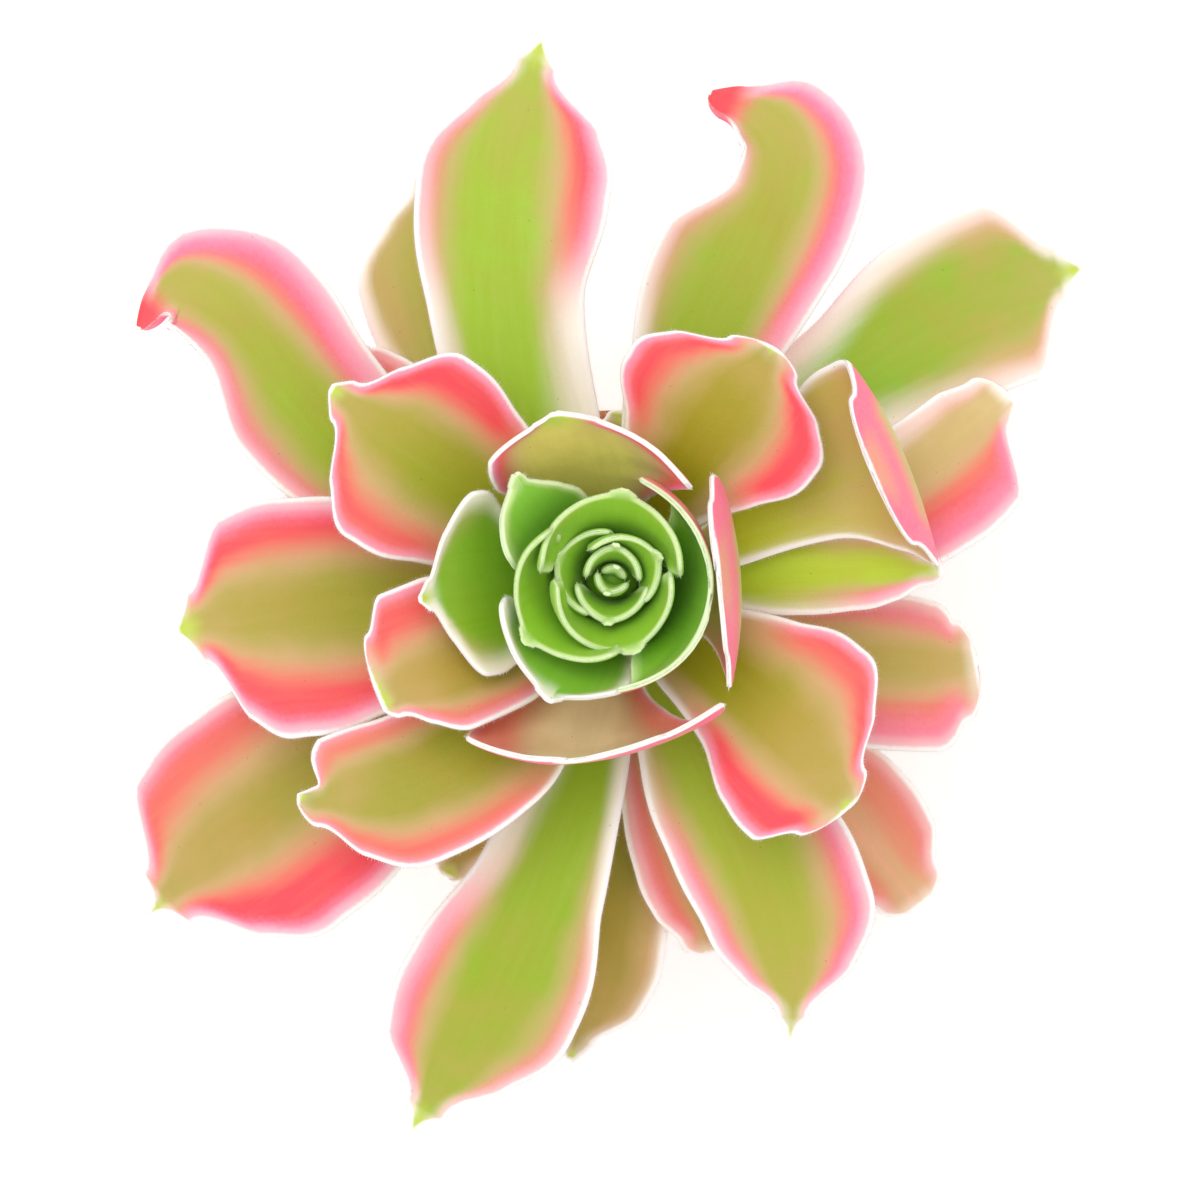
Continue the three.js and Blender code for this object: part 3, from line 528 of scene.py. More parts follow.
def colour_amounts(surface, paint, shares, across):
    khaki, start, red, depth, pale = paint[1:]
    t = shares[:, None]
    x = across[None, :]
    u = np.abs(x)
    is_left = x > 0
    strength = np.where(is_left, *red)
    reach = np.where(is_left, *depth) + 0.3 * (0.65 - t)
    pale_width = np.where(is_left, *pale)
    edge = surface["edge"]
    to_tip = (1 - t) * surface["length"]
    red_tip = surface["name"] in RED_TIPS
    patch = TIP_PATCH.get(surface["name"], TIP_USUAL)
    tip = (1 - smoothstep(to_tip + 2 * u, 0.3 * patch, patch + 0.01)) * (patch > 0 and not red_tip)
    band = 1 - smoothstep(t + 0.1 * (1 - u), 0.93, 1.03) * (not red_tip)
    band = smoothstep(t, start, start + 0.22) * band
    red_amount = strength * band * smoothstep(u, reach - 0.16, reach + 0.2)
    hooked = red_tip * (1 - smoothstep(to_tip, 3, 8))
    red_amount = np.maximum(red_amount, hooked)
    tan_amount = smoothstep(t, start - 0.3, start + 0.12) * smoothstep(u, reach - 0.4, reach + 0.05)
    tan_amount = tan_amount * (0.35 + 0.65 * np.clip(strength + khaki * 0.4, 0, 1))
    tan_amount = np.maximum(tan_amount, 0.4 * khaki * smoothstep(t, 0.65, 0.95))
    khaki_amount = khaki * smoothstep(t - 0.12 * u, 0.3, 0.85) * (1 - 0.35 * smoothstep(t, 0.85, 1))
    narrowing = 0.9 if surface["kind"] in ("cup", "heart") else 1.8 - 1.4 * t
    pale_amount = (1 - smoothstep(edge, 0.2, pale_width * narrowing)) * (1 - 0.8 * red_amount)
    blush = BLUSH[surface["kind"]] * (1 - smoothstep(edge, 0.4, 2.8))
    pale_amount = np.maximum(pale_amount, blush) * (1 - hooked)
    pinker = PINKER.get(surface["name"], 1)
    near_margin = 1 - smoothstep(edge / pinker, *PINK_REACH[surface["kind"]])
    pink_amount = red_amount * near_margin * (1 - hooked)
    amounts = dict(red=red_amount, tan=tan_amount, khaki=khaki_amount, pale=pale_amount, pink=pink_amount,
                   tip=tip)
    full = {name: np.broadcast_to(value, edge.shape) for name, value in amounts.items()}
    full["edge"] = edge / RIM_WIDTH[surface["kind"]] + 1.5 * hooked
    return full


print("leaves with a red tip:", len(RED_TIPS))

# %% [markdown]
# ## Putting a leaf together
# The skin and its hairs become one mesh. Its colour numbers are stored as attributes: one number for each
# amount, one for upper or lower side, one for the distance to the margin, the flesh colour, and a pair of
# coordinates in millimetres along and across the leaf, so that fibres and streaks follow its growth.

# %% Colours of the lower side
# The lower side is paler, and its red lies in a band next to the margin, as strong as this table says.
REVERSE_RED = {"north_west_hook": 1, "north_east_hook": 0.9, "east_upturned": 0.95, "cup_east": 0.95,
               "cup_south": 0.95, "cup_north": 0.7, "bud_east": 0.55, "bud_south": 0.15, "cup_west": 0.25,
               "bud_north_west": 0, "heart": 0}
REVERSE_RED_USUAL = 0.35


def reverse_amounts(amounts, surface, shares, across, strength):
    t = shares[:, None]
    edge = surface["edge"]
    tip = 1 - smoothstep((1 - t) * surface["length"], 1.5, 5)
    tip = tip * (1 - smoothstep(np.abs(across)[None, :], 0.2, 0.7))
    band = strength * (1 - smoothstep(edge, 3.5, 8.5)) * smoothstep(t, 0.25, 0.5)
    lower = dict(amounts)
    lower["red"] = band
    lower["pink"] = band * 0.6
    lower["tan"] = 0.5 * strength * (1 - smoothstep(edge, 4, 10)) * smoothstep(t, 0.2, 0.5)
    lower["khaki"] = 0.5 * amounts["khaki"]
    lower["pale"] = np.zeros_like(edge)
    lower["tip"] = 0.3 * tip * smoothstep(t, 0.5, 0.8)
    return lower


# %% Leaf mesh
def leaf_parts(record, name, chance, kind, shares=SHARES, across=ACROSS):
    surface = blade(record, shares, across)
    surface["kind"] = kind
    surface["name"] = name
    points, faces = closed_skin(surface)
    shape = surface["edge"].shape
    grids = colour_amounts(surface, PAINT[name], shares, across)
    back = REVERSE_RED.get(name, REVERSE_RED_USUAL)
    lower_grids = reverse_amounts(grids, surface, shares, across, back)
    grids["across_mm"] = np.broadcast_to(across[None, :] * surface["width"], shape)
    grids["along_mm"] = np.broadcast_to(shares[:, None] * surface["length"], shape)
    hair_points, hair_faces, spots = margin_hairs(surface, chance)
    values = {}
    for attribute, grid in grids.items():
        upper = np.concatenate([grid[:1], grid])
        lower = np.broadcast_to(lower_grids.get(attribute, grid), shape)
        lower = np.concatenate([lower[:1], lower])[:-1, 1:-1]
        spotted = np.repeat([grid[spot] for spot in spots], HAIR_CORNERS)
        values[attribute] = np.concatenate([upper.ravel(), lower.ravel(), spotted])
    above, below, hairs = upper.size, lower.size, len(hair_points)
    values["reverse"] = np.repeat([0.0, 1.0, 0.0], [above, below, hairs])
    values["hair"] = np.repeat([0.0, 1.0], [above + below, hairs])
    shift = len(points)
    faces = faces + [[corner + shift for corner in face] for face in hair_faces]
    return np.concatenate([points, hair_points]), faces, values


def build_mesh(name, points, faces, values, origin=CROWN):
    mesh = bpy.data.meshes.new(name)
    mesh.from_pydata(((points + origin) * MM).tolist(), [], [list(map(int, face)) for face in faces])
    mesh.validate()
    mesh.shade_smooth()
    for attribute, numbers in values.items():
        layer = mesh.attributes.new(attribute, "FLOAT", "POINT")
        layer.data.foreach_set("value", np.asarray(numbers, dtype=np.float32))
    piece = bpy.data.objects.new(name, mesh)
    bpy.context.scene.collection.objects.link(piece)
    return piece


trial = leaf_parts(LEAVES["north"], "north", np.random.default_rng(1), "outer")
print("numbers on each point:", len(trial[2]), "points with hairs:", len(trial[0]))

# %% [markdown]
# ## Leaf skin
# Aeonium leaves are soft green flesh under a thin, dull, slightly velvety skin of short glandular hairs.
# It is not shiny: roughness is about 0.5, the IOR is the plant wax's 1.45, and a little light passes
# through the flesh, so it has some subsurface scattering. Fine fibres run along the leaf about 1.2 mm apart,
# and small dark dots of resin glands lie 3 mm or so apart.

# %% Leaf tones
KHAKI = "#b79a40"
TAN = "#d3b07e"
CORAL = "#f4505a"
ROSE = "#fb8fb2"
TIP_GREEN = "#c3d254"
GLAND_BROWN = "#7d6a3c"
AMOUNTS = ("khaki", "tan", "red", "pink", "pale", "tip", "edge", "hair", "reverse",
           "across_mm", "along_mm", "seed")
print("coral in linear values:", [round(value, 3) for value in linear(CORAL)[:3]])

# %% Leaf material
def leaf_material(name, rough, pale, rim_colour, under, hair):
    material, tree, shader = new_material(
        name, Roughness=rough, IOR=1.45, Specular_IOR_Level=0.3, Sheen_Weight=0.06, Sheen_Roughness=0.6,
        Subsurface_Weight=0.18, Subsurface_Radius=(1.0, 0.9, 0.35), Subsurface_Scale=1.2 * MM)

    amount = {name: add(tree, "Attribute", attribute_name=name).outputs["Fac"] for name in AMOUNTS}
    flesh = add(tree, "Attribute", attribute_name="flesh").outputs["Color"]
    place = add(tree, "CombineXYZ", {"X": amount["across_mm"], "Y": amount["along_mm"], "Z": amount["seed"]})
    place = place.outputs["Vector"]

    drawn_out = add(tree, "VectorMath", {0: place, 1: (0.85, 0.07, 1)}, operation="MULTIPLY")
    drawn_out = drawn_out.outputs["Vector"]
    fibres = add(tree, "TexNoise", {"Vector": drawn_out, "Scale": 1.0, "Detail": 3.0}).outputs["Fac"]
    patches = add(tree, "TexNoise", {"Vector": place, "Scale": 0.16, "Detail": 3.0}).outputs["Fac"]
    grain = add(tree, "TexNoise", {"Vector": place, "Scale": 1.6, "Detail": 2.0}).outputs["Fac"]

    def shifted(value, noise, reach):
        centred = add(tree, "Math", {0: noise, 1: 0.5}, operation="SUBTRACT").outputs[0]
        strength = add(tree, "Math", {0: centred, 1: reach}, operation="MULTIPLY").outputs[0]
        weight = add(tree, "Math", {0: value, 1: 6.0}, operation="MULTIPLY", use_clamp=True).outputs[0]
        push = add(tree, "Math", {0: strength, 1: weight}, operation="MULTIPLY").outputs[0]
        return add(tree, "Math", {0: value, 1: push}, operation="ADD", use_clamp=True).outputs[0]

    reverse = add(tree, "Math", {0: amount["reverse"], 1: 0.55}, operation="MULTIPLY").outputs[0]
    flesh = layered(tree, flesh, [(reverse, under)])
    deep = add(tree, "HueSaturation", {"Saturation": 1.02, "Value": 0.975, "Color": flesh}).outputs["Color"]
    light = add(tree, "HueSaturation", {"Saturation": 0.99, "Value": 1.025, "Color": flesh}).outputs["Color"]
    streak = add(tree, "MapRange", {"Value": fibres, "From Min": 0.3, "From Max": 0.7}).outputs["Result"]
    uneven = add(tree, "Math", {0: grain, 1: 0.5}, operation="MULTIPLY").outputs[0]
    uneven = add(tree, "Math", {0: amount["edge"], 1: uneven}, operation="ADD").outputs[0]
    rim = add(tree, "MapRange", {"Value": uneven, "From Min": 1.5, "From Max": 0.55},
              interpolation_type="SMOOTHSTEP").outputs["Result"]
    glands = add(tree, "TexVoronoi", {"Vector": place, "Scale": 0.32, "Randomness": 1.0})
    dots = add(tree, "MapRange", {"Value": glands.outputs["Distance"], "From Min": 0.05, "From Max": 0.035})
    dotted = add(tree, "Math", {0: dots.outputs["Result"], 1: 0.35}, operation="MULTIPLY").outputs[0]
    colour = layered(tree, deep, (
        (streak, light),
        (shifted(amount["khaki"], patches, 0.7), KHAKI),
        (shifted(amount["tan"], patches, 0.5), TAN),
        (shifted(amount["red"], fibres, 0.3), CORAL),
        (shifted(amount["pink"], grain, 0.4), ROSE),
        (shifted(amount["pale"], fibres, 0.2), pale),
        (amount["tip"], TIP_GREEN),
        (rim, rim_colour),
        (amount["hair"], hair),
        (dotted, GLAND_BROWN),
    ))
    tree.links.new(colour, shader.inputs["Base Color"])

    pebble = add(tree, "TexNoise", {"Vector": place, "Scale": 2.2, "Detail": 1.0}).outputs["Fac"]
    relief = add(tree, "Math", {0: pebble, 1: fibres}, operation="ADD").outputs[0]
    bump = add(tree, "Bump", {"Height": relief, "Strength": 0.35, "Distance": 0.12 * MM})
    tree.links.new(bump.outputs["Normal"], shader.inputs["Normal"])
    return material


# name, roughness, pale margin, rim, lower side, hairs
outer_skin = leaf_material("aeonium_leaf_skin", 0.5, "#fdf8f0", "#fef9f7", "#dccfa4", "#ecd2c8")
cup_skin = leaf_material("cupped_aeonium_leaf_skin", 0.48, "#f8f3e0", "#fcf8f2", "#c9c27e", "#fbf4ee")
inner_skin = leaf_material("young_aeonium_leaf_skin", 0.46, "#c6e290", "#e2f1c4", "#a5cc66", "#dcebb4")
print("leaf materials have", len(outer_skin.node_tree.nodes), "nodes each")

# %% Build the leaves
# The seed shifts the textures, so that no two leaves share a pattern. Low down on the youngest leaves,
# between the two heights here, shade is painted into the flesh: darker and a purer green, where light hardly
# reaches them.
INNER = ("cup_", "bud_")
FIRST_HALF_OPEN = list(LEAVES).index("south_west_notched")
SEED_STEP = 7.3
PAINTED_SHADE_LEVEL, PAINTED_SHADE_END = 91, 103


def finish_leaf(piece, flesh, skin):
    count = len(piece.data.vertices)
    colours = np.tile(linear(flesh), (count, 1))
    if skin == inner_skin:
        heights = np.empty(count * 3, dtype=np.float32)
        piece.data.vertices.foreach_get("co", heights)
        # Painted shade: the young flesh is darkened towards the bottom, and turned a purer green there.
        light = 0.38 + 0.68 * smoothstep(heights[2::3] / MM, PAINTED_SHADE_LEVEL, PAINTED_SHADE_END)
        colours[:, :3] *= light[:, None] ** np.array((1.3, 1, 1.5))
    layer = piece.data.attributes.new("flesh", "FLOAT_COLOR", "POINT")
    layer.data.foreach_set("color", colours.astype(np.float32).ravel())
    piece.data.materials.append(skin)
    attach(piece, "root")


for number, (name, record) in enumerate(LEAVES.items()):
    young = name.startswith(INNER)
    kind = "cup" if young else "half_open" if number >= FIRST_HALF_OPEN else "outer"
    chance = np.random.default_rng(number + 1)
    points, faces, values = leaf_parts(record, name, chance, kind)
    values["seed"] = np.full(len(points), number * SEED_STEP)
    piece = build_mesh(f"aeonium_leaf_{name}", points, faces, values)
    creamy = name.startswith("cup_") or name == "bud_south"
    skin = cup_skin if creamy else inner_skin if young else outer_skin
    finish_leaf(piece, PAINT[name][0], skin)
    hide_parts(f"leaf_{name}")
print("leaves built:", len(LEAVES))

# %% [markdown]
# ## The heart
# In the middle the youngest leaves are still wrapped round each other like a small rose, deep green with
# pale edges, and darker low down, where that darkening is painted shade. They share one growing tip, so they
# stay one piece, made with the same leaf formula.

# %% Heart leaves
HEART_BASE = STEM_TOP + FIT_GAP
HEART_SEED = 400.0
FIRST_HEART_DRAW = 50
HEART_OUTLINE = (0.5, 0.85, 1, 0.42, 0.12)
# turn, reach, height of the tip, left and right half width, cup, roll
HEART_LEAVES = (
    (216, 15, 104, 12, 16, 92, 6),
    (82, 12, 104.5, 16.5, 13.5, 98, -4),
    (288, 10.7, 103.5, 11, 16.5, 106, 4),
    (160, 8.4, 101.5, 9, 8, 90, 0),
    (24, 7.2, 103, 10, 6, 96, 0),
    (264, 6.4, 102.3, 7, 6.5, 84, 0),
    (84, 4.5, 102.8, 6, 5.5, 96, 0),
    (250, 2.4, 102.2, 3, 3, 80, 0),
    (70, 1.5, 101.4, 2, 2, 70, 0),
)


def heart_leaf(turn, reach, top, left, right, cup, roll):
    return dict(seat=HEART_BASE + 1.5, belly=(turn, reach * 0.45, 93), shoulder=(turn, reach * 0.62, top - 4),
                tip=(turn, reach, top), left=tuple(part * left for part in HEART_OUTLINE),
                right=tuple(part * right for part in HEART_OUTLINE), cup=(cup * 0.9, cup), roll=(0, roll),
                neck=2.5, wave=0.2, pointed=0.8, curl=(0, 0), sweep=(0, 0), stations=STATIONS)


print("leaves in the heart:", len(HEART_LEAVES))

# %% Rings and closed tubes
# Rings of points make the growing tip here, and the stem, the pot and the soil below.
def ring_faces(count, sides, looped=False):
    faces = []
    for ring in range(count if looped else count - 1):
        upper = (ring + 1) % count
        for side in range(sides):
            after = (side + 1) % sides
            low, high = ring * sides, upper * sides
            faces.append([low + side, low + after, high + after, high + side])
    return faces


def closed_tube(rings, ends=None):
    count, sides = rings.shape[:2]
    if ends is None:
        ends = [rings[0].mean(axis=0), rings[-1].mean(axis=0)]
    points = np.concatenate([rings.reshape(-1, 3), np.array(ends)])
    faces = ring_faces(count, sides)
    for side in range(sides):
        after = (side + 1) % sides
        faces.append([count * sides, after, side])
        faces.append([count * sides + 1, (count - 1) * sides + side, (count - 1) * sides + after])
    return points, faces


def joined(parts):
    points, faces, values, shift = [], [], {}, 0
    for part_points, part_faces, part_values in parts:
        points.append(part_points)
        faces += [[corner + shift for corner in face] for face in part_faces]
        for name, numbers in part_values.items():
            values.setdefault(name, []).append(numbers)
        shift += len(part_points)
    return np.concatenate(points), faces, {name: np.concatenate(numbers) for name, numbers in values.items()}


print("faces of a tube of 4 rings with 16 sides:", len(ring_faces(4, 16)))

# %% Heart of the rosette
# The growing tip under the youngest leaves is a small blunt cone, too far from any margin to have a rim.
TIP_PROFILE = ((3, HEART_BASE), (4.4, 93), (3.4, 95.4), (1.4, 97))
TIP_ENDS = ((0, 0, HEART_BASE), (0, 0, 97.4))
TIP_SIDES = 16
FAR_FROM_RIM = 9.0

heart_parts = []
for index, row in enumerate(HEART_LEAVES):
    chance = np.random.default_rng(FIRST_HEART_DRAW + index)
    heart_parts.append(leaf_parts(heart_leaf(*row), "heart", chance, "heart"))

turn = math.tau * np.arange(TIP_SIDES) / TIP_SIDES
circle = np.column_stack([np.cos(turn), np.sin(turn)])
tip_rings = np.array([np.column_stack([radius * circle, np.full(TIP_SIDES, height)])
                      for radius, height in TIP_PROFILE])
tip_points, tip_faces = closed_tube(tip_rings, TIP_ENDS)
tip_values = {attribute: np.zeros(len(tip_points)) for attribute in heart_parts[0][2]}
tip_values["edge"] = np.full(len(tip_points), FAR_FROM_RIM)
heart_parts.append((tip_points, tip_faces, tip_values))

points, faces, values = joined(heart_parts)
values["seed"] = np.full(len(points), HEART_SEED)
heart = build_mesh("aeonium_heart", points, faces, values)
finish_leaf(heart, PAINT["heart"][0], inner_skin)
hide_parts("heart")
print("heart points:", len(heart.data.vertices))

# %% [markdown]
# ## The stem
# Below the rosette the stem is bare where old leaves have dropped, and each left a scar like a flat lens,
# set round the stem in the same spiral as the leaves. It could be modelled with a bump texture,
# but the scars stand out against the light, so they are moved in the mesh itself.

# %% Stem
POT_HEIGHT = 52
SOIL_TOP = POT_HEIGHT - 4
STEM_FOOT = SOIL_TOP - 24
GOLDEN_TURN = math.radians(137.5)
STEM_SIDES = 144
BARK_RADIUS = 5.7
SCARS = 44
SCAR_PITCH = 0.62
SCAR_HALF_HEIGHT = 0.85


def stem_rings():
    buried = np.linspace(STEM_FOOT, SOIL_TOP, 10)
    height = np.concatenate([buried, np.linspace(SOIL_TOP + 0.2, STEM_TOP, 190)])
    turn = np.linspace(0, math.tau, STEM_SIDES, endpoint=False)
    radius = np.interp(height, [STEM_FOOT, STEM_FOOT + 3, SOIL_TOP, SOIL_TOP + 1.5, ROSETTE_BOTTOM, STEM_TOP],
                       [3.4, 5.2, 5.2, BARK_RADIUS, BARK_RADIUS, STEM_RADIUS_TOP])
    radius = np.repeat(radius[:, None], STEM_SIDES, axis=1)
    scar_line = np.zeros_like(radius)
    for scar in range(SCARS):
        level = SOIL_TOP + 1.5 + scar * SCAR_PITCH
        aside = (turn - scar * GOLDEN_TURN + math.pi) % math.tau - math.pi
        wide = 0.3 + 2.5 * (1 if level < ROSETTE_BOTTOM else 0.8)
        above = (height[:, None] - level) / SCAR_HALF_HEIGHT
        from_rim = np.sqrt((aside[None, :] * BARK_RADIUS / wide) ** 2 + above ** 2) - 1
        lip = np.exp(-(from_rim / 0.28) ** 2)
        radius = radius + 0.22 * lip - 0.12 * (from_rim < -0.35)
        scar_line = np.maximum(scar_line, lip)
    level = np.repeat(height[:, None], STEM_SIDES, axis=1)
    return np.stack([radius * np.cos(turn), radius * np.sin(turn), level], axis=2), scar_line


rings, scar_line = stem_rings()
points, faces = closed_tube(rings)
stem = build_mesh("aeonium_stem", points, faces, {"scar": np.concatenate([scar_line.ravel(), [0, 0]])})
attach(stem, "root")
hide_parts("stem")
print("stem radius over the soil:", round(float(rings[20, :, :2].max()), 2), "mm")

# %% [markdown]
# ## Stem bark
# The bark is thin, corky and grey-brown, paler on the lips of the scars and still green near the crown.
# It is matt, so its roughness is 0.8, with a fine cork grain about half a millimetre across.

# %% Stem material
stem_bark, tree, shader = new_material(
    "corky_succulent_bark", Roughness=0.8, IOR=1.45, Specular_IOR_Level=0.3)
where = add(tree, "TexCoord").outputs["Object"]
cork = add(tree, "TexNoise", {"Vector": where, "Scale": 1 / (1.6 * MM), "Detail": 4.0}).outputs["Fac"]
scar = add(tree, "Attribute", attribute_name="scar").outputs["Fac"]
level = add(tree, "SeparateXYZ", {"Vector": where}).outputs["Z"]
youth = add(tree, "MapRange", {"Value": level, "From Min": 60 * MM, "From Max": 74 * MM}).outputs["Result"]
pale_lip = add(tree, "Math", {0: scar, 1: 0.6}, operation="MULTIPLY").outputs[0]
colour = layered(tree, linear("#6f5f47"), ((cork, "#a5916f"), (youth, "#93a04f"), (pale_lip, "#bfae8c")))
tree.links.new(colour, shader.inputs["Base Color"])
fine = add(tree, "TexNoise", {"Vector": where, "Scale": 1 / (0.5 * MM), "Detail": 3.0}).outputs["Fac"]
bump = add(tree, "Bump", {"Height": fine, "Strength": 0.6, "Distance": 0.2 * MM})
tree.links.new(bump.outputs["Normal"], shader.inputs["Normal"])
stem.data.materials.append(stem_bark)
print("bark material ready")

# %% [markdown]
# ## The pot
# The photograph hides the pot, so it is the plain clay flowerpot that such a plant is sold in: pressed
# earthenware, tapered, with a collar round its mouth and a drain hole. It is turned from one profile of
# (radius, height) corners, softer than those of the CAD solid, with faint rings from the press.

# %% Pot
POT_PROFILE = (
    (4, 0), (17.2, 0), (18.2, 0.35), (18.75, 1.2), (23.85, 38.9), (24.1, 39.3), (25.4, 39.75), (25.75, 40.4),
    (26.98, 50.4), (26.85, 51.3), (26.2, 51.85), (25.5, 51.95), (24.4, 51.7), (23.85, 51.0),
    (16.8, 4.7), (16.2, 3.8), (15.4, 3.4), (4.3, 3.4), (4, 3.1),
)
POT_SIDES = 128
POT_STEP = 0.8


def resampled(profile, step):
    corners = np.array(list(profile) + [profile[0]], dtype=float)
    spots = []
    for start, end in zip(corners[:-1], corners[1:]):
        count = max(1, int(np.linalg.norm(end - start) / step))
        spots += [start + (end - start) * part / count for part in range(count)]
    return np.array(spots)


def press_rings(profile, turn):
    outside = (profile[:, 0] > 18) & (profile[:, 1] > 2)
    depth = 0.05 * np.sin(profile[:, 1] * 3.1) + 0.04 * np.sin(profile[:, 1] * 1.3)
    wobble = 0.06 * np.sin(turn * 2 + 0.6) + 0.04 * np.sin(turn * 3)
    return np.where(outside, -0.12 + depth, 0)[:, None] + np.where(outside, 1, 0)[:, None] * wobble[None, :]


def turned_pot(profile, sides):
    turn = np.linspace(0, math.tau, sides, endpoint=False)
    radius = profile[:, :1] + press_rings(profile, turn)
    height = np.broadcast_to(profile[:, 1:], radius.shape)
    points = np.stack([radius * np.cos(turn), radius * np.sin(turn), height], axis=2).reshape(-1, 3)
    return points, ring_faces(len(profile), sides, looped=True)


points, faces = turned_pot(resampled(POT_PROFILE, POT_STEP), POT_SIDES)
pot = build_mesh("clay_pot", points, faces, {}, origin=np.zeros(3))
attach(pot, "root")
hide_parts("pot")
print("pot", round(pot.dimensions.x / MM, 1), "mm across,", round(pot.dimensions.z / MM, 1), "mm high")

# %% [markdown]
# ## Fired clay
# Terracotta is unglazed, porous and matt, with a roughness near 0.9. Sand in the clay gives it a grain of
# about 0.8 mm, coarse enough to show, the kiln gives soft patches 15 mm wide, and hard water leaves a pale
# bloom near the foot.

# %% Terracotta material
terracotta, tree, shader = new_material("unglazed_terracotta", Roughness=0.9, IOR=1.5, Specular_IOR_Level=0.3)
where = add(tree, "TexCoord").outputs["Object"]
patches = add(tree, "TexNoise", {"Vector": where, "Scale": 1 / (15 * MM), "Detail": 4.0}).outputs["Fac"]
sand = add(tree, "TexNoise", {"Vector": where, "Scale": 1 / (0.8 * MM), "Detail": 3.0}).outputs["Fac"]
level = add(tree, "SeparateXYZ", {"Vector": where}).outputs["Z"]
sandy = add(tree, "MapRange", {"Value": sand, "From Min": 0.62, "From Max": 0.75, "To Max": 0.4})
sandy = sandy.outputs["Result"]
foot = add(tree, "MapRange", {"Value": level, "From Min": 16 * MM, "From Max": 0.0}).outputs["Result"]
lime = add(tree, "MapRange", {"Value": patches, "From Min": 0.48, "From Max": 0.66}).outputs["Result"]
bloom = add(tree, "Math", {0: foot, 1: lime}, operation="MULTIPLY").outputs[0]
bloom = add(tree, "Math", {0: bloom, 1: 0.7}, operation="MULTIPLY").outputs[0]
colour = layered(tree, linear("#a95f3e"), ((patches, "#c98a63"), (sandy, "#e0b693"), (bloom, "#e6d9cb")))
tree.links.new(colour, shader.inputs["Base Color"])
bump = add(tree, "Bump", {"Height": sand, "Strength": 0.5, "Distance": 0.12 * MM})
tree.links.new(bump.outputs["Normal"], shader.inputs["Normal"])
pot.data.materials.append(terracotta)
print("terracotta ready")

# %% [markdown]
# ## The soil
# Succulents stand in gritty soil: dark compost with crumbs of lava, pumice and bark, 0.5 to 3 mm across.
# The plug is a ring round the stem's hole with an uneven top, and 900 crumbs lie pressed into it. They are
# lumps with a few faces each, because a bump texture would look flat from the side.

# %% Soil plug
SOIL_BOTTOM = 3.7
SOIL_SIDES = 120
STEM_HOLE = 5.6
SOIL_DRAW = 77
CRUMBS = 900


def pot_inner_radius(height):
    return 15.9 + (23.8 - 15.9) * height / POT_HEIGHT


def soil_plug(chance):
    turn = np.linspace(0, math.tau, SOIL_SIDES, endpoint=False)
    circle = np.stack([np.cos(turn), np.sin(turn)], axis=1)
    wall = pot_inner_radius(SOIL_TOP) - FIT_GAP
    waves = [(chance.uniform(0.2, 0.9), chance.uniform(0, math.tau), chance.uniform(0, math.tau))
             for _ in range(24)]
    rings = []
    for share in np.linspace(0, 1, 26):
        flat = (1 - share) * (CROWN[:2] + circle * STEM_HOLE) + share * circle * wall
        bumps = sum(np.sin(flat @ (pace * np.array([math.cos(way), math.sin(way)])) * 2 + start)
                    for pace, way, start in waves)
        top = SOIL_TOP + 0.35 + 0.09 * bumps * (0.5 + 0.5 * math.sin(math.pi * share)) - 0.9 * share ** 8
        rings.append(np.column_stack([flat, top]))
    walls = [(circle * (pot_inner_radius(height) - FIT_GAP), height)
             for height in (SOIL_TOP - 6, SOIL_TOP - 20, SOIL_BOTTOM + 1.2)]
    walls.append((circle * (pot_inner_radius(SOIL_BOTTOM) - 1.5), SOIL_BOTTOM))
    walls.append((CROWN[:2] + circle * STEM_HOLE, SOIL_BOTTOM))
    rings += [np.column_stack([flat, np.full(SOIL_SIDES, height)]) for flat, height in walls]
    rings = np.array(rings)[::-1]
    return rings.reshape(-1, 3), ring_faces(len(rings), SOIL_SIDES, looped=True)


chance = np.random.default_rng(SOIL_DRAW)
plug_points, plug_faces = soil_plug(chance)
print("soil plug:", len(plug_points), "points")

# %% Crumbs
# Each lump starts as the twelve corners of an icosahedron, pushed in and out at random.
CRUMB_CORNERS = 12
LONGEST_EDGE = 1.1
GOLDEN = (1 + 5 ** 0.5) / 2
CRUMB_POINTS = unit(np.array([(0, one, two * GOLDEN) for one in (-1, 1) for two in (-1, 1)]
                             + [(one, two * GOLDEN, 0) for one in (-1, 1) for two in (-1, 1)]
                             + [(two * GOLDEN, 0, one) for one in (-1, 1) for two in (-1, 1)]))


def hull_faces(points):
    faces = []
    for a, b, c in itertools.combinations(range(CRUMB_CORNERS), 3):
        normal = np.cross(points[b] - points[a], points[c] - points[a])
        edges = points[[a, b, c]] - points[[b, c, a]]
        if np.linalg.norm(edges, axis=1).max() < LONGEST_EDGE:
            faces.append([a, b, c] if normal.dot(points[a]) > 0 else [a, c, b])
    return faces


CRUMB_FACES = hull_faces(CRUMB_POINTS)


def crumbs(count, chance):
    parts = []
    for _ in range(count):
        reach = math.sqrt(chance.uniform(8.2 ** 2, 21.6 ** 2))
        way = chance.uniform(0, math.tau)
        size = chance.choice([0.5, 0.7, 1.0, 1.4], p=[0.4, 0.3, 0.2, 0.1]) * chance.uniform(0.8, 1.2)
        lump = CRUMB_POINTS * chance.uniform(0.75, 1.2, (CRUMB_CORNERS, 1))
        lump = lump * size * np.array([1, chance.uniform(0.6, 1), 0.7])
        spin = chance.uniform(0, math.tau)
        turned = lump @ np.array([[math.cos(spin), math.sin(spin), 0], [-math.sin(spin), math.cos(spin), 0],
                                  [0, 0, 1]])
        at = np.array([reach * math.cos(way), reach * math.sin(way), SOIL_TOP + 0.3 + 0.2 * size])
        parts.append((turned + at, CRUMB_FACES, {"crumb": np.full(CRUMB_CORNERS, chance.uniform(0.05, 1))}))
    return parts


print("faces of a crumb:", len(CRUMB_FACES))

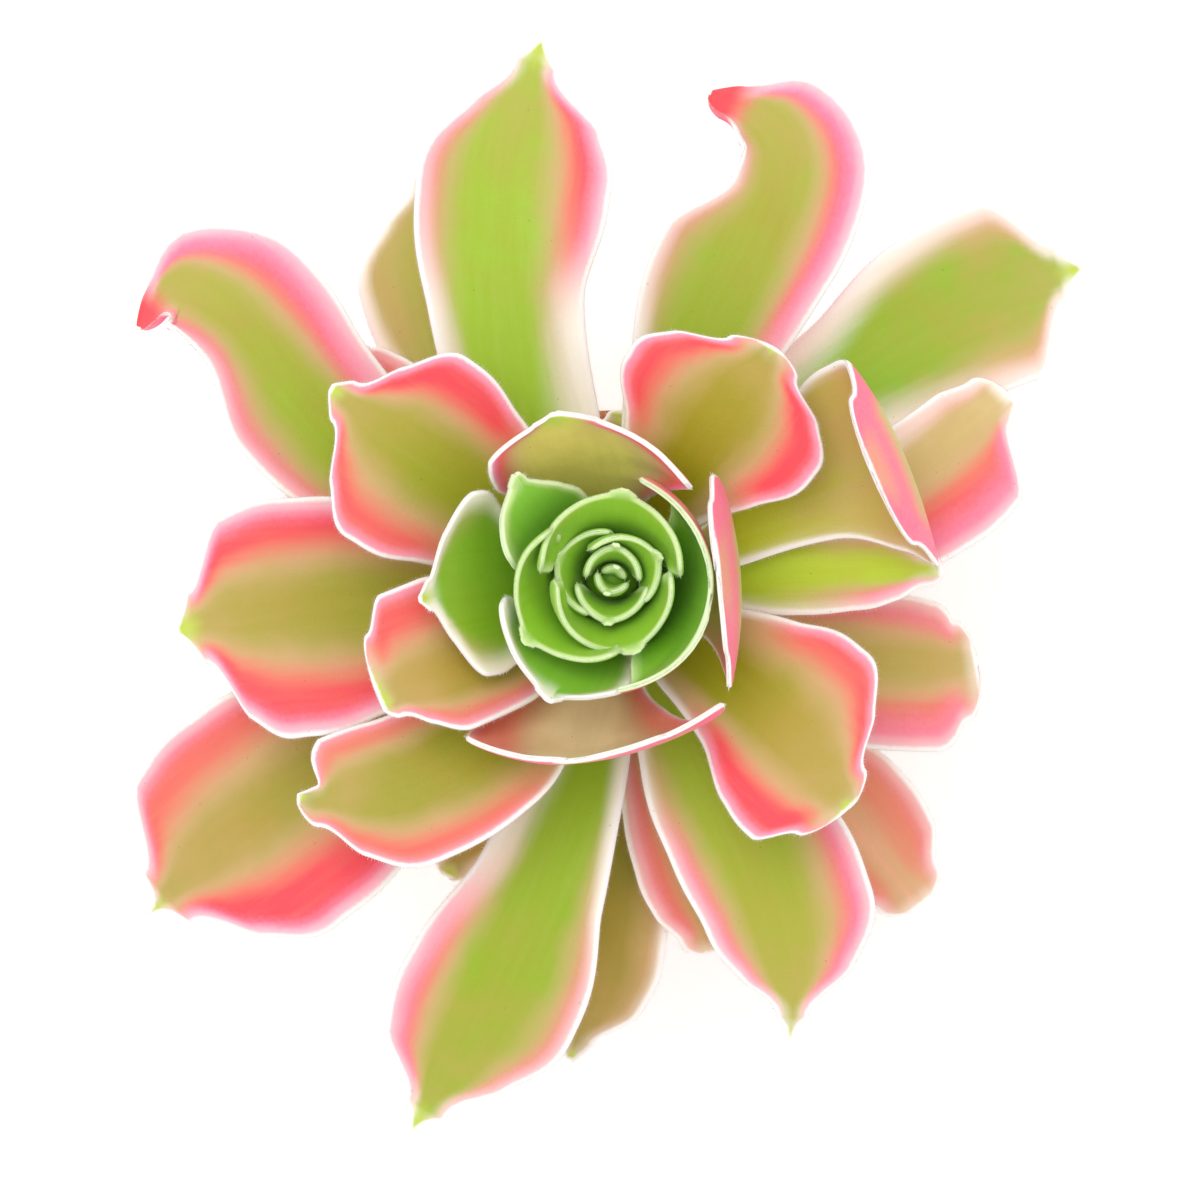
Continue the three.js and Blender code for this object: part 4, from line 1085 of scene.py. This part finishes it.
# %% Soil
plug = (plug_points, plug_faces, {"crumb": np.zeros(len(plug_points))})
soil_parts = [plug] + crumbs(CRUMBS, chance)
soil = build_mesh("gritty_soil", *joined(soil_parts), origin=np.zeros(3))
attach(soil, "root")
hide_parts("soil")
print("soil points:", len(soil.data.vertices))

# %% [markdown]
# ## Soil colours
# Each crumb carries one number, and a colour ramp reads it: most are compost brown, some are rust-red lava,
# some grey bark, and a few pale pumice. All of it is dry and matt.

# %% Soil material
potting_soil, tree, shader = new_material("gritty_compost", Roughness=0.95, IOR=1.45, Specular_IOR_Level=0.2)
where = add(tree, "TexCoord").outputs["Object"]
crumb = add(tree, "Attribute", attribute_name="crumb").outputs["Fac"]
kinds = add(tree, "ValToRGB", {"Fac": crumb})
kinds.color_ramp.interpolation = "CONSTANT"
CRUMB_TONES = ((0.0, "#3d3027"), (0.3, "#54402f"), (0.5, "#6e4a38"), (0.68, "#7c6f5f"), (0.8, "#99603f"),
               (0.9, "#cfc3ad"))
for index, (spot, tone) in enumerate(CRUMB_TONES):
    stop = kinds.color_ramp.elements[index] if index < 2 else kinds.color_ramp.elements.new(spot)
    stop.position = spot
    stop.color = linear(tone)
damp = add(tree, "TexNoise", {"Vector": where, "Scale": 1 / (1.2 * MM), "Detail": 5.0}).outputs["Fac"]
shade = add(tree, "MapRange", {"Value": damp, "From Min": 0.35, "From Max": 0.7, "To Min": 0.6})
shade = shade.outputs["Result"]
colour = add(tree, "Mix", {MIX_FACTOR: 1.0, MIX_A: kinds.outputs["Color"], MIX_B: shade}, data_type="RGBA",
             blend_type="MULTIPLY").outputs[MIX_RESULT]
tree.links.new(colour, shader.inputs["Base Color"])
bump = add(tree, "Bump", {"Height": damp, "Strength": 0.8, "Distance": 0.5 * MM})
tree.links.new(bump.outputs["Normal"], shader.inputs["Normal"])
soil.data.materials.append(potting_soil)
print("soil material ready")

# %% [markdown]
# ## Floor and light
# The photograph is high-key: a white ground, and light from nearly everywhere with no hard shadow.
# A white floor, a white sky and one wide soft light over the plant give that, and a second one from the
# side keeps the leaves' relief. The floor paper glows a little, so that it stays white under the leaves.

# %% Floor
FLOOR_HALF = 1.5
floor_mesh = bpy.data.meshes.new("floor")
corners = [(-FLOOR_HALF, -FLOOR_HALF, 0), (FLOOR_HALF, -FLOOR_HALF, 0), (FLOOR_HALF, FLOOR_HALF, 0),
           (-FLOOR_HALF, FLOOR_HALF, 0)]
floor_mesh.from_pydata(corners, [], [(0, 1, 2, 3)])
floor = bpy.data.objects.new("floor", floor_mesh)
bpy.context.scene.collection.objects.link(floor)
floor_paper, tree, shader = new_material(
    "white_backdrop_paper", Roughness=0.9, Specular_IOR_Level=0.1, Emission_Strength=0.22)
where = add(tree, "TexCoord").outputs["Object"]
pulp = add(tree, "TexNoise", {"Vector": where, "Scale": 1 / (3 * MM), "Detail": 2.0}).outputs["Fac"]
tree.links.new(layered(tree, linear("#f6f5f4"), [(pulp, "#fbfbfa")]), shader.inputs["Base Color"])
floor.data.materials.append(floor_paper)
print("floor", 2 * FLOOR_HALF, "m wide")

# %% Lights
def soft_light(name, place, size, watts):
    light = bpy.data.lights.new(name, "AREA")
    light.shape = "DISK"
    light.size = size
    light.energy = watts
    lamp = bpy.data.objects.new(name, light)
    lamp.location = place
    aim = -lamp.location
    lamp.rotation_euler = aim.to_track_quat("-Z", "Y").to_euler()
    bpy.context.scene.collection.objects.link(lamp)


soft_light("overhead_softbox", (-0.25, 0.35, 1.1), 0.9, 4.5)
soft_light("side_softbox", (0.9, -0.5, 0.7), 0.6, 1)

SKY_STRENGTH = 0.9
world = bpy.data.worlds.new("white_sky")
world.use_nodes = True
sky = world.node_tree.nodes["Background"]
sky.inputs["Color"].default_value = linear("#ffffff")
sky.inputs["Strength"].default_value = SKY_STRENGTH
bpy.context.scene.world = world
bpy.context.scene.view_settings.view_transform = "Standard"
